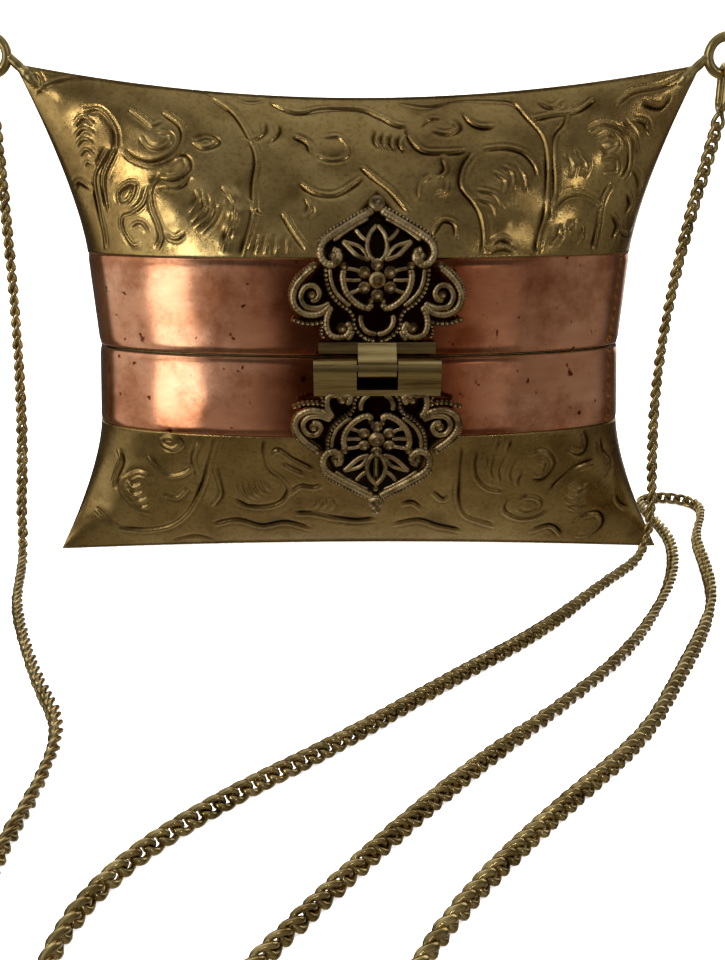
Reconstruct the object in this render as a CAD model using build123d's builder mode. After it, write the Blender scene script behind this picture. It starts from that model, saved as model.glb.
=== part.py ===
from build123d import *
from math import cos, pi, radians, sin, sqrt, tan
import os

# A pillow-shaped hinged metal purse, standing upright on its two lower corners. Millimetres, +Z up.
# The front with the clasp faces -Y, +X is to the viewer's right, and z = 0 is the table.

# Body: two brass half shells, each ending in a copper band, meeting at a seam
CORNER_X = 75.0  # half width at the four pinched corners
BAND_X = 62.2  # half width where a band meets its shell
SEAM_X = 61.0  # half width at the seam
BODY_B = 20.0  # half thickness along the bands
FLARE_POWER = 1.4  # how the half width grows from band to corner
PINCH_POWER = 0.8  # how the half thickness shrinks from band to edge
TOP_Z = 113.0
UPPER_BAND_Z = 73.1
SEAM_Z = 52.0
SEAM_GAP = 0.4
LOWER_BAND_Z = 33.7
TOP_DIP = 7.0  # how far the middle of the top edge lies under its corners
BOTTOM_DIP = 1.75
FLANGE_B = 0.9  # half thickness of the pinched edges
WALL = 0.8
BAND_WALL = 0.9
RIM_STEP = 0.4
RIM_DEPTH = 3.0
RIM_RISE = 8.0
LINING_GAP = 0.15
LINING_WALL = 0.8

# Front clasp: a fixed filigree plate with a centre knuckle, and a hanging filigree hasp
CLASP_X = 3.6
CLASP_AXIS_B = 24.4  # hinge axis in front of the purse's middle plane
CLASP_AXIS_Z = 50.5
KNUCKLE_R = 2.05
CENTRE_KNUCKLE_X = 4.1
OUTER_KNUCKLE_X = 13.6
KNUCKLE_GAP = 0.3
CLASP_PIN_R = 0.75
PIN_CLEARANCE = 0.05
PLATE_T = 1.2
LEAF_T = 1.0
HASP_TILT = 16.0
CLASP_BEND = 26.0  # the upper plate is bent back over the band's edge
BASE_LOW_Z = 53.2
BASE_HIGH_Z = 55.6
BASE_HALF_X = 12.6
PLATE_GAP = 0.1

# Rear hinge
REAR_AXIS_B = 21.5
REAR_KNUCKLE_R = 1.3
REAR_PIN_R = 0.55
REAR_HALF_X = 14.0
REAR_LEAF_T = 0.6
REAR_LEAF_HEIGHT = 9.0

# Corner fittings and chain
RING_X = 80.2
RING_Z = 114.7
RING_R = 3.9
RING_WIRE_R = 1.1
LINK_WIRE_R = 0.8
LINK_HALF_WIDTH = 2.0
LINK_TOP_Z = 112.75
LINK_LOW_Z = 103.5
CHAIN_D = 3.4

# The whole purse sits a little back, so that the origin is under the middle of its box
MID_Y = (CLASP_AXIS_B + KNUCKLE_R - REAR_AXIS_B - REAR_KNUCKLE_R) / 2
CLASP_AXIS_Y = MID_Y - CLASP_AXIS_B
REAR_AXIS_Y = MID_Y + REAR_AXIS_B
FRONT_Y = MID_Y - BODY_B
BACK_Y = MID_Y + BODY_B

os.makedirs("parts", exist_ok=True)


def save(part, name):
    part.label = name
    export_step(part, f"parts/{name}.step")


# Body sections -------------------------------------------------------------------------------------


def half_width(z):
    """Half width of the body at a height, from its seam out to its corners."""
    if z > UPPER_BAND_Z:
        rise = (z - UPPER_BAND_Z) / (TOP_Z - UPPER_BAND_Z)
        return BAND_X + (CORNER_X - BAND_X) * rise**FLARE_POWER
    if z < LOWER_BAND_Z:
        drop = (LOWER_BAND_Z - z) / LOWER_BAND_Z
        return BAND_X + (CORNER_X - BAND_X) * drop**FLARE_POWER
    half_band = UPPER_BAND_Z - SEAM_Z if z > SEAM_Z else SEAM_Z - LOWER_BAND_Z
    return SEAM_X + (BAND_X - SEAM_X) * abs(z - SEAM_Z) / half_band


def half_depth(z):
    """Half thickness of the body at a height, down to the pinched edge."""
    if z > UPPER_BAND_Z:
        share = (z - UPPER_BAND_Z) / (TOP_Z - TOP_DIP - UPPER_BAND_Z)
    else:
        share = (LOWER_BAND_Z - z) / (LOWER_BAND_Z - BOTTOM_DIP)
    share = min(max(share, 0.0), 1.0)
    return max(BODY_B * (1 - share) ** PINCH_POWER, FLANGE_B)


def levels(start, stop, count):
    """Heights that crowd towards stop, where the section changes fastest."""
    return [start + (stop - start) * sin(pi / 2 * i / count) for i in range(count + 1)]


def tower(heights, inset, mode=Mode.ADD):
    """A ruled tower of ellipses that follows the body, inset by a distance."""
    sections = []
    for z in heights:
        with BuildSketch(Plane(origin=(0, MID_Y, z)), mode=Mode.PRIVATE) as section:
            Ellipse(half_width(z) - inset, half_depth(z) - inset)
        sections.append(section.sketch)
    loft(sections, ruled=True, mode=mode)


def flange(corner_z, root_z, dip):
    """The pinched edge between two corners, hollowed by an arc."""
    middle_z = corner_z - dip if corner_z > root_z else corner_z + dip
    root_x = half_width(root_z)
    with BuildSketch(Plane.XZ.offset(-MID_Y), mode=Mode.PRIVATE) as outline:
        with BuildLine():
            Line((-root_x, root_z), (root_x, root_z))
            Line((root_x, root_z), (CORNER_X, corner_z))
            ThreePointArc((CORNER_X, corner_z), (0, middle_z), (-CORNER_X, corner_z))
            Line((-CORNER_X, corner_z), (-root_x, root_z))
        make_face()
    extrude(outline.sketch, amount=FLANGE_B, both=True)


PINCH_TOP_Z = TOP_Z - TOP_DIP
FLANGE_ROOT = 2.0

with BuildPart() as upper_shell:
    tower(levels(UPPER_BAND_Z, PINCH_TOP_Z, 8), 0)
    flange(TOP_Z, PINCH_TOP_Z - FLANGE_ROOT, TOP_DIP)
    tower(levels(UPPER_BAND_Z, PINCH_TOP_Z - 2 * FLANGE_ROOT, 7), WALL, Mode.SUBTRACT)
save(upper_shell.part, "upper_shell")

with BuildPart() as lower_shell:
    tower(levels(LOWER_BAND_Z, BOTTOM_DIP + 0.2, 8), 0)
    flange(0, BOTTOM_DIP + FLANGE_ROOT, BOTTOM_DIP)
    tower(levels(LOWER_BAND_Z, BOTTOM_DIP + 2 * FLANGE_ROOT, 7), WALL, Mode.SUBTRACT)
save(lower_shell.part, "lower_shell")

UPPER_SEAM_Z = SEAM_Z + SEAM_GAP / 2
LOWER_SEAM_Z = SEAM_Z - SEAM_GAP / 2

with BuildPart() as upper_band:
    tower([UPPER_SEAM_Z, UPPER_BAND_Z], 0)
    tower([UPPER_SEAM_Z, UPPER_BAND_Z], BAND_WALL, Mode.SUBTRACT)
save(upper_band.part, "upper_band")

with BuildPart() as lower_band:
    tower([LOWER_BAND_Z, LOWER_SEAM_Z], 0)
    tower([LOWER_BAND_Z, LOWER_SEAM_Z], BAND_WALL, Mode.SUBTRACT)
save(lower_band.part, "lower_band")

# The rim is soldered inside the upper band, and its lower part steps in to enter the lower half
RIM_LOW_Z = SEAM_Z - RIM_DEPTH
RIM_HIGH_Z = SEAM_Z + RIM_RISE
RIM_INSET = BAND_WALL + 0.05

with BuildPart() as inner_rim:
    tower([UPPER_SEAM_Z, RIM_HIGH_Z], RIM_INSET)
    with BuildSketch(Plane(origin=(0, MID_Y, RIM_LOW_Z))):
        Ellipse(SEAM_X - BAND_WALL - RIM_STEP, BODY_B - BAND_WALL - RIM_STEP)
    extrude(amount=UPPER_SEAM_Z - RIM_LOW_Z)
    with BuildSketch(Plane(origin=(0, MID_Y, RIM_LOW_Z))):
        Ellipse(SEAM_X - BAND_WALL - RIM_STEP - WALL, BODY_B - BAND_WALL - RIM_STEP - WALL)
    extrude(amount=RIM_HIGH_Z - RIM_LOW_Z, mode=Mode.SUBTRACT)
save(inner_rim.part, "inner_rim")

LINING_INSET = BAND_WALL + LINING_GAP

with BuildPart() as upper_lining:
    start_z = RIM_HIGH_Z + LINING_GAP
    tower([start_z] + levels(UPPER_BAND_Z, PINCH_TOP_Z - 8, 6), LINING_INSET)
    tower([start_z] + levels(UPPER_BAND_Z, PINCH_TOP_Z - 10, 6), LINING_INSET + LINING_WALL, Mode.SUBTRACT)
save(upper_lining.part, "upper_lining")

with BuildPart() as lower_lining:
    start_z = RIM_LOW_Z - LINING_GAP
    tower([start_z] + levels(LOWER_BAND_Z, BOTTOM_DIP + 8, 6), LINING_INSET)
    tower([start_z] + levels(LOWER_BAND_Z, BOTTOM_DIP + 10, 6), LINING_INSET + LINING_WALL, Mode.SUBTRACT)
save(lower_lining.part, "lower_lining")

# Clasp ---------------------------------------------------------------------------------------------

# The casting is drawn in its own plane: x across, y from its straight end towards its tip
FLOWER_S = 13.1
TIP_S = 30.0
VOLUTE_X = 14.0
VOLUTE_S = 9.7
TAIL_X = 17.3
TAIL_S = 5.2
ARCH_S = 5.0
SCROLL_X = 7.4
SCROLL_S = 3.2
CURL_X = 8.8
CURL_S = 17.6


def filigree():
    """The open-work casting's outline with its openings, as one sketch."""
    with BuildLine(mode=Mode.PRIVATE) as outline:
        Line((-12.3, 0), (12.3, 0))
        Line((12.3, 0), (12.3, 1.6))
        Spline((12.3, 1.6), (10.8, 7), (10.4, 14), (8.4, 20.5), (4.4, 24.6), (1.2, 28.6))
        Line((1.2, 28.6), (-1.2, 28.6))
        Spline((-1.2, 28.6), (-4.4, 24.6), (-8.4, 20.5), (-10.4, 14), (-10.8, 7), (-12.3, 1.6))
        Line((-12.3, 1.6), (-12.3, 0))
    make_face(outline.line)
    with Locations((0, TIP_S)):
        Circle(1.9)
    with Locations((-VOLUTE_X, VOLUTE_S), (VOLUTE_X, VOLUTE_S)):
        Circle(4.3)
    with Locations((-CURL_X, CURL_S), (CURL_X, CURL_S)):
        Circle(2.5)
    with Locations((-TAIL_X, TAIL_S), (TAIL_X, TAIL_S)):
        Circle(1.9)
    with Locations((-VOLUTE_X, VOLUTE_S), (VOLUTE_X, VOLUTE_S)):
        Circle(1.5, mode=Mode.SUBTRACT)
    with Locations((0, ARCH_S)):
        Circle(2.1, mode=Mode.SUBTRACT)
    with Locations((-SCROLL_X, SCROLL_S), (SCROLL_X, SCROLL_S)):
        Circle(1.3, mode=Mode.SUBTRACT)
    with Locations((0, FLOWER_S)):
        with PolarLocations(4.3, 6, start_angle=30):
            Circle(1.3, mode=Mode.SUBTRACT)
    with Locations((0, 22.2)):
        SlotOverall(7.6, 2.4, rotation=90, mode=Mode.SUBTRACT)
    with Locations((-4.2, 19.8), (4.2, 19.8)):
        Circle(1.2, mode=Mode.SUBTRACT)


# The upper casting stands on the band and bends back over the shell above it
BEND_Z = UPPER_BAND_Z + 0.4
BEND_S = BEND_Z - BASE_HIGH_Z
PLATE_BACK_Y = FRONT_Y - PLATE_GAP
band_plane = Plane(origin=(CLASP_X, PLATE_BACK_Y, BASE_HIGH_Z), x_dir=(1, 0, 0), z_dir=(0, -1, 0))
bent_normal = (0, -cos(radians(CLASP_BEND)), sin(radians(CLASP_BEND)))
CLASP_FACE_Y = PLATE_BACK_Y - PLATE_T
shell_plane = Plane(origin=(CLASP_X, CLASP_FACE_Y, BEND_Z), x_dir=(1, 0, 0), z_dir=bent_normal)

with BuildPart() as clasp_plate:
    with BuildSketch(band_plane):
        filigree()
        with Locations((0, BEND_S + 20)):
            Rectangle(60, 40, mode=Mode.SUBTRACT)
    extrude(amount=PLATE_T)
    with BuildSketch(shell_plane):
        with Locations((0, -BEND_S)):
            with BuildSketch(mode=Mode.PRIVATE) as whole:
                filigree()
            add(whole.sketch)
        with Locations((0, -20)):
            Rectangle(60, 40, mode=Mode.SUBTRACT)
    extrude(amount=-PLATE_T)
save(clasp_plate.part, "clasp_plate")

# The base bar carries the centre knuckle; it is soldered to the casting's straight end
with BuildPart() as clasp_base:
    with BuildSketch(Plane.YZ.offset(CLASP_X - BASE_HALF_X)):
        with Locations((PLATE_BACK_Y - 0.9, (BASE_LOW_Z + BASE_HIGH_Z) / 2)):
            Rectangle(1.8, BASE_HIGH_Z - BASE_LOW_Z)
    extrude(amount=2 * BASE_HALF_X)
    with BuildSketch(Plane.YZ.offset(CLASP_X - CENTRE_KNUCKLE_X)):
        with BuildLine():
            Polyline(
                (CLASP_AXIS_Y - 1.9, CLASP_AXIS_Z + 0.5),
                (CLASP_AXIS_Y - 1.6, CLASP_AXIS_Z + 1.6),
                (PLATE_BACK_Y - 2.2, BASE_HIGH_Z),
                (PLATE_BACK_Y, BASE_HIGH_Z),
                (PLATE_BACK_Y, BASE_LOW_Z),
                (CLASP_AXIS_Y + 1.9, CLASP_AXIS_Z + 0.5),
                close=True,
            )
        make_face()
    extrude(amount=2 * CENTRE_KNUCKLE_X)
    with BuildSketch(Plane.YZ.offset(CLASP_X - CENTRE_KNUCKLE_X)):
        with Locations((CLASP_AXIS_Y, CLASP_AXIS_Z)):
            Circle(KNUCKLE_R)
    extrude(amount=2 * CENTRE_KNUCKLE_X)
    with BuildSketch(Plane.YZ.offset(CLASP_X - CENTRE_KNUCKLE_X)):
        with Locations((CLASP_AXIS_Y, CLASP_AXIS_Z)):
            Circle(CLASP_PIN_R)
    extrude(amount=2 * CENTRE_KNUCKLE_X, mode=Mode.SUBTRACT)
save(clasp_base.part, "clasp_base")

with BuildPart() as clasp_pin:
    with BuildSketch(Plane.YZ.offset(CLASP_X - OUTER_KNUCKLE_X)):
        with Locations((CLASP_AXIS_Y, CLASP_AXIS_Z)):
            Circle(CLASP_PIN_R)
    extrude(amount=2 * OUTER_KNUCKLE_X)
save(clasp_pin.part, "clasp_pin")

# The hasp hangs from the pin in a tilted plane, which touches the knuckles' front
tilt_sin = sin(radians(HASP_TILT))
tilt_cos = cos(radians(HASP_TILT))
touch_y = CLASP_AXIS_Y - KNUCKLE_R * tilt_cos
touch_z = CLASP_AXIS_Z - KNUCKLE_R * tilt_sin
LEAF_LENGTH = 5.6
WINDOW_LENGTH = 4.2
hasp_normal = (0, -tilt_cos, -tilt_sin)
leaf_plane = Plane(origin=(CLASP_X, touch_y, touch_z), x_dir=(-1, 0, 0), z_dir=hasp_normal)
plate_start_y = touch_y + LEAF_LENGTH * tilt_sin
plate_start_z = touch_z - LEAF_LENGTH * tilt_cos
plate_plane = Plane(origin=(CLASP_X, plate_start_y, plate_start_z), x_dir=(-1, 0, 0), z_dir=hasp_normal)

with BuildPart() as hasp_leaf:
    with BuildSketch(leaf_plane):
        with Locations((0, LEAF_LENGTH / 2)):
            Rectangle(2 * OUTER_KNUCKLE_X, LEAF_LENGTH)
        with Locations((0, WINDOW_LENGTH / 2 - 0.5)):
            Rectangle(2 * (CENTRE_KNUCKLE_X + KNUCKLE_GAP), WINDOW_LENGTH + 1.0, mode=Mode.SUBTRACT)
    extrude(amount=-LEAF_T)
    for side in (-1, 1):
        inner_x = CLASP_X + side * (CENTRE_KNUCKLE_X + KNUCKLE_GAP)
        with BuildSketch(Plane.YZ.offset(inner_x)):
            with Locations((CLASP_AXIS_Y, CLASP_AXIS_Z)):
                Circle(KNUCKLE_R)
        extrude(amount=side * (OUTER_KNUCKLE_X - CENTRE_KNUCKLE_X - KNUCKLE_GAP))
    with BuildSketch(Plane.YZ.offset(CLASP_X - OUTER_KNUCKLE_X)):
        with Locations((CLASP_AXIS_Y, CLASP_AXIS_Z)):
            Circle(CLASP_PIN_R + PIN_CLEARANCE)
    extrude(amount=2 * OUTER_KNUCKLE_X, mode=Mode.SUBTRACT)
save(hasp_leaf.part, "hasp_leaf")

# The lower casting starts part way along the design, because the leaf covers its straight end
HASP_SKIP = 1.6

with BuildPart() as hasp_plate:
    with BuildSketch(plate_plane):
        with Locations((0, -HASP_SKIP)):
            with BuildSketch(mode=Mode.PRIVATE) as hasp_outline:
                filigree()
                with Locations((0, TIP_S + 2.4)):
                    Circle(1.3)
            add(hasp_outline.sketch)
        with Locations((0, -10)):
            Rectangle(60, 20, mode=Mode.SUBTRACT)
    extrude(amount=-PLATE_T)
save(hasp_plate.part, "hasp_plate")

# The staple stands on the lower shell and ends just behind the hasp's upright slot
STAPLE_R = 0.6
STAPLE_CLEARANCE = 0.35
STAPLE_TOP_Z = 28.6
STAPLE_LOW_Z = 20.6


def behind_hasp(z):
    """y of the staple's bar, at a height."""
    front_y = touch_y + (touch_z - z) * tilt_sin / tilt_cos
    return front_y + (PLATE_T + STAPLE_CLEARANCE + STAPLE_R) / tilt_cos


def in_shell(z):
    """y of a point just under the lower shell's front surface, at a height."""
    return MID_Y - half_depth(z) + WALL / 4


with BuildPart() as staple:
    with BuildLine() as staple_path:
        FilletPolyline(
            (CLASP_X, in_shell(STAPLE_TOP_Z + 0.6), STAPLE_TOP_Z + 0.6),
            (CLASP_X, behind_hasp(STAPLE_TOP_Z), STAPLE_TOP_Z),
            (CLASP_X, behind_hasp(STAPLE_LOW_Z), STAPLE_LOW_Z),
            (CLASP_X, in_shell(STAPLE_LOW_Z - 0.8), STAPLE_LOW_Z - 0.8),
            radius=0.7,
        )
    with BuildSketch(Plane(origin=staple_path.line @ 0, z_dir=staple_path.line % 0)):
        Circle(STAPLE_R)
    sweep(path=staple_path.line)
    add(lower_shell.part, mode=Mode.SUBTRACT)
save(staple.part, "staple")

# Rear hinge ----------------------------------------------------------------------------------------

REAR_SPANS = [(-12.0, -7.4), (-7.2, -2.5), (-2.3, 2.3), (2.5, 7.2), (7.4, 12.0)]


def rear_leaf(side, spans, bore_r):
    """One leaf of the rear hinge: a plate on the band's back and its knuckles."""
    low_z = SEAM_Z + side * 1.7
    with BuildSketch(Plane.XZ.offset(-(BACK_Y - 3.0)), mode=Mode.PRIVATE) as plate:
        with Locations((0, low_z + side * REAR_LEAF_HEIGHT / 2)):
            RectangleRounded(2 * REAR_HALF_X, REAR_LEAF_HEIGHT, 1.5)
    extrude(plate.sketch, amount=-(3.0 + REAR_LEAF_T))
    for start_x, stop_x in spans:
        with BuildSketch(Plane.YZ.offset(start_x), mode=Mode.PRIVATE) as knuckle:
            with Locations((REAR_AXIS_Y, SEAM_Z)):
                Circle(REAR_KNUCKLE_R)
            with BuildLine():
                Polyline(
                    (REAR_AXIS_Y - REAR_KNUCKLE_R, SEAM_Z),
                    (REAR_AXIS_Y, SEAM_Z + side * REAR_KNUCKLE_R),
                    (BACK_Y + REAR_LEAF_T, low_z + side * 1.6),
                    (BACK_Y + 0.1, low_z + side * 1.6),
                    (BACK_Y + 0.1, SEAM_Z + side * 0.3),
                    close=True,
                )
            make_face()
        extrude(knuckle.sketch, amount=stop_x - start_x)
    with BuildSketch(Plane.YZ.offset(-REAR_HALF_X), mode=Mode.PRIVATE) as bore:
        with Locations((REAR_AXIS_Y, SEAM_Z)):
            Circle(bore_r)
    extrude(bore.sketch, amount=2 * REAR_HALF_X, mode=Mode.SUBTRACT)
    far_z = SEAM_Z + side * 15.0
    tower(sorted([SEAM_Z, far_z]), 0, Mode.SUBTRACT)


with BuildPart() as upper_hinge_leaf:
    rear_leaf(1, REAR_SPANS[0::2], REAR_PIN_R)
save(upper_hinge_leaf.part, "upper_hinge_leaf")

with BuildPart() as lower_hinge_leaf:
    rear_leaf(-1, REAR_SPANS[1::2], REAR_PIN_R + PIN_CLEARANCE)
save(lower_hinge_leaf.part, "lower_hinge_leaf")

with BuildPart() as hinge_pin:
    with BuildSketch(Plane.YZ.offset(REAR_SPANS[0][0] - 0.4)):
        with Locations((REAR_AXIS_Y, SEAM_Z)):
            Circle(REAR_PIN_R)
    extrude(amount=REAR_SPANS[-1][1] - REAR_SPANS[0][0] + 0.8)
save(hinge_pin.part, "hinge_pin")

# Rivet heads ---------------------------------------------------------------------------------------

RIVET_R = 0.9
RIVET_T = 0.5


def rivet_heads(face_y, direction, places):
    """Low domed rivet heads standing on a face that looks along Y."""
    for x, z in places:
        plane = Plane(origin=(x, face_y, z), x_dir=(1, 0, 0), z_dir=(0, direction, 0))
        with BuildSketch(plane, mode=Mode.PRIVATE) as head:
            Circle(RIVET_R)
        extrude(head.sketch, amount=RIVET_T, taper=35)


with BuildPart() as upper_hinge_rivets:
    rivet_heads(BACK_Y + REAR_LEAF_T, 1, [(x, SEAM_Z + 7.6) for x in (-10, 0, 10)])
save(upper_hinge_rivets.part, "upper_hinge_rivets")

with BuildPart() as lower_hinge_rivets:
    rivet_heads(BACK_Y + REAR_LEAF_T, 1, [(x, SEAM_Z - 7.6) for x in (-10, 0, 10)])
save(lower_hinge_rivets.part, "lower_hinge_rivets")

with BuildPart() as clasp_rivets:
    flower_z = BASE_HIGH_Z + FLOWER_S
    curl_z = BASE_HIGH_Z + CURL_S - 0.5
    curls = [(CLASP_X - CURL_X, curl_z), (CLASP_X + CURL_X, curl_z)]
    rivet_heads(CLASP_FACE_Y, -1, [(CLASP_X, flower_z)] + curls)
save(clasp_rivets.part, "clasp_rivets")

# Corner fittings -----------------------------------------------------------------------------------

RING_LOW_Z = RING_Z - RING_R
LINK_BEND_Z = LINK_TOP_Z - LINK_HALF_WIDTH


def corner_ring(side):
    with Locations(Location((side * RING_X, MID_Y, RING_Z), (90, 0, 0))):
        Torus(RING_R, RING_WIRE_R)


def corner_lug(side, shell):
    """A tapered sleeve on the corner's tip, which the ring is soldered into."""
    foot = (side * 72.2, MID_Y, 110.9)
    reach = Vector(side * (RING_X - RING_R) - foot[0], 0, RING_Z - 0.6 - foot[2])
    foot_plane = Plane(origin=foot, x_dir=(0, 1, 0), z_dir=reach.normalized())
    with BuildSketch(foot_plane, mode=Mode.PRIVATE) as wide_end:
        Circle(2.5)
    with BuildSketch(foot_plane.offset(reach.length), mode=Mode.PRIVATE) as narrow_end:
        Circle(1.7)
    loft([wide_end.sketch, narrow_end.sketch])
    add(shell, mode=Mode.SUBTRACT)
    with Locations(Location((side * RING_X, MID_Y, RING_Z), (90, 0, 0))):
        Torus(RING_R, RING_WIRE_R, mode=Mode.SUBTRACT)


def end_link(side):
    """The long wire link between a ring and the chain, in the plane across the ring."""
    front = MID_Y - LINK_HALF_WIDTH
    back = MID_Y + LINK_HALF_WIDTH
    low = LINK_LOW_Z + LINK_HALF_WIDTH
    with BuildLine(Plane.YZ.offset(side * RING_X), mode=Mode.PRIVATE) as loop:
        Line((front, low), (front, LINK_BEND_Z))
        ThreePointArc((front, LINK_BEND_Z), (MID_Y, LINK_TOP_Z), (back, LINK_BEND_Z))
        Line((back, LINK_BEND_Z), (back, low))
        ThreePointArc((back, low), (MID_Y, LINK_LOW_Z), (front, low))
    with BuildSketch(Plane(origin=(side * RING_X, front, low)), mode=Mode.PRIVATE) as wire:
        Circle(LINK_WIRE_R)
    sweep(wire.sketch, path=loop.line)


with BuildPart() as left_ring:
    corner_ring(-1)
save(left_ring.part, "left_ring")

with BuildPart() as right_ring:
    corner_ring(1)
save(right_ring.part, "right_ring")

with BuildPart() as left_lug:
    corner_lug(-1, upper_shell.part)
save(left_lug.part, "left_lug")

with BuildPart() as right_lug:
    corner_lug(1, upper_shell.part)
save(right_lug.part, "right_lug")

with BuildPart() as left_link:
    end_link(-1)
save(left_link.part, "left_link")

with BuildPart() as right_link:
    end_link(1)
save(right_link.part, "right_link")

# Chain ---------------------------------------------------------------------------------------------

# Its middle lies at this height on the table
LAID_Z = CHAIN_D / 2 + 0.05
CHAIN_TOP_Z = LINK_LOW_Z - LINK_WIRE_R - 0.1

# From the left ring down to the table, forward and to the right, back to a fold beside the right
# corner, forward to the left, back to the right corner and up to the right ring
ROUTE = [
    (-80.2, 1.8, CHAIN_TOP_Z),
    (-80.0, 1.2, 94),
    (-79.4, -0.5, 80),
    (-79.2, -1.8, 58),
    (-80.3, -1.5, 36),
    (-81.6, -2.0, 21),
    (-82.4, -2.8, 13),
    (-82.2, -4.6, 5.6),
    (-81.0, -9.8, LAID_Z),
    (-79.0, -17.5, LAID_Z),
    (-74.6, -35, LAID_Z),
    (-67.5, -52, LAID_Z),
    (-59.0, -70, LAID_Z),
    (-51.0, -84, LAID_Z),
    (-49.6, -100, LAID_Z),
    (-50.6, -118, LAID_Z),
    (-49.5, -138, LAID_Z),
    (-44.0, -156, LAID_Z),
    (-27.5, -166, LAID_Z),
    (-9.0, -160, LAID_Z),
    (0.5, -145, LAID_Z),
    (12.0, -126, LAID_Z),
    (27.5, -108, LAID_Z),
    (46.0, -89, LAID_Z),
    (57.5, -70, LAID_Z),
    (71.0, -47, LAID_Z),
    (77.5, -32, LAID_Z),
    (82.0, -14, LAID_Z),
    (85.2, 3, LAID_Z),
    (92.4, 18.6, LAID_Z),
    (94.8, 27.3, LAID_Z),
    (92.5, 32.4, LAID_Z),
    (87.4, 35.0, LAID_Z),
    (81.9, 33.8, LAID_Z),
    (78.3, 29.4, LAID_Z),
    (78.8, 16, LAID_Z),
    (78.6, 1, LAID_Z),
    (73.6, -17, LAID_Z),
    (65.5, -35, LAID_Z),
    (52.0, -58, LAID_Z),
    (34.0, -79, LAID_Z),
    (15.5, -98, LAID_Z),
    (-1.5, -119, LAID_Z),
    (-13.0, -135, LAID_Z),
    (-22.0, -148, LAID_Z),
    (-34.5, -148.5, LAID_Z),
    (-39.0, -136, LAID_Z),
    (-34.5, -120, LAID_Z),
    (-22.0, -105, LAID_Z),
    (-4.0, -89.5, LAID_Z),
    (16.0, -69, LAID_Z),
    (37.0, -49, LAID_Z),
    (55.5, -25, LAID_Z),
    (62.5, -17, LAID_Z),
    (67.0, -11, LAID_Z),
    (70.2, -6.4, 5.6),
    (71.2, -4.6, 13),
    (70.6, -3.6, 22),
    (70.0, -2.4, 40),
    (71.4, -1.6, 60),
    (75.2, -0.4, 82),
    (78.6, 1.0, 95),
    (80.2, 1.8, CHAIN_TOP_Z),
]


def corner_radii(points):
    """The largest arc that each corner's runs allow."""
    radii = []
    for before, here, after in zip(points, points[1:], points[2:]):
        arriving = here - before
        leaving = after - here
        run = min(arriving.length, leaving.length)
        radii.append(0.45 * run / tan(radians(arriving.get_angle(leaving) / 2)))
    return radii


route_points = [Vector(*point) for point in ROUTE]
chain_radii = corner_radii(route_points)
print("chain radii", [round(radius, 1) for radius in chain_radii])
runs = [(b - a).length for a, b in zip(route_points, route_points[1:])]
print("longest run", round(max(runs), 1), "worst ratio", round(
    max(max(a, b) / min(a, b) for a, b in zip(runs, runs[1:])), 2
))

with BuildPart() as chain:
    with BuildLine() as chain_path:
        FilletPolyline(*route_points, radius=chain_radii)
    with BuildSketch(Plane(origin=chain_path.line @ 0, z_dir=chain_path.line % 0)):
        Circle(CHAIN_D / 2)
    sweep(path=chain_path.line)
save(chain.part, "chain")
chain_length = sum(edge.length for edge in chain_path.edges())
chain_volume = pi * CHAIN_D**2 / 4 * chain_length
print("chain length", round(chain_length, 1), "volume share", round(chain.part.volume / chain_volume, 4))
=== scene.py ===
"""Looks of the brass and copper pillow purse: embossed shells, bands, filigree clasp and curb chain."""
import math

import bpy
import numpy as np
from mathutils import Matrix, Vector


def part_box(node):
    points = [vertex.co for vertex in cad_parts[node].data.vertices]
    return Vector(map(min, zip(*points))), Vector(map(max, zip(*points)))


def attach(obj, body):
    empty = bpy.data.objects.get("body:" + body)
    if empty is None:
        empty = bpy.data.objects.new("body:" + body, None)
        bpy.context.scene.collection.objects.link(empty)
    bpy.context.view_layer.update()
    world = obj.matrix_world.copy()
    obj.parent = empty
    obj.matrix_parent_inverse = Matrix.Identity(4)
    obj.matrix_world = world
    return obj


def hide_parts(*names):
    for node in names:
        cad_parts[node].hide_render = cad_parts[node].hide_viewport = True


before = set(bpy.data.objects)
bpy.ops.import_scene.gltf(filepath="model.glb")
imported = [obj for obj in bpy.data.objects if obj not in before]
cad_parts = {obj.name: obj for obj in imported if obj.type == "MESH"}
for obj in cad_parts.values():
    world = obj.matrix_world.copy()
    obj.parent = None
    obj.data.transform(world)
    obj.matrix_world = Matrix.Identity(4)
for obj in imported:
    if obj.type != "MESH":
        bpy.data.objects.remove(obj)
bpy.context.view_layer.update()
MM = 0.001


# The purse's own measures, read from the frame -----------------------------------------------------

band_low, band_high = (np.array(corner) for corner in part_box("upper_band"))
lower_low, lower_high = (np.array(corner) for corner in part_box("lower_band"))
shell_high = np.array(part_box("upper_shell")[1])
foot_low = np.array(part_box("lower_shell")[0])
plate_low, plate_high = (np.array(corner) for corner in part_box("clasp_plate"))
hasp_low, hasp_high = (np.array(corner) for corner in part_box("hasp_plate"))

MID_Y = (band_low[1] + band_high[1]) / 2
BODY_B = (band_high[1] - band_low[1]) / 2
BAND_X = band_high[0]
SEAM_X = BAND_X - 1.2 * MM
CORNER_X = shell_high[0]
CLASP_X = (plate_low[0] + plate_high[0]) / 2
TOP_DIP = 7 * MM
BOTTOM_DIP = 1.75 * MM
EDGE_B = 0.9 * MM
FLARE_POWER = 1.4
PINCH_POWER = 0.8


# The clasp's castings: the upper one is bent back at the band's edge, and the hasp hangs leaning
BASE_Z = plate_low[2] / MM
BEND_Z = band_high[2] / MM + 0.4
BEND_TURN = math.radians(26)
FACE_Y = (MID_Y - BODY_B) / MM - 0.1 - 1.2
MID_DEPTH = 0.6
HASP_TURN = math.radians(16)
HASP_SKIP = 1.6
HASP_START_Y = hasp_low[1] / MM
HASP_START_Z = hasp_high[2] / MM


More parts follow.
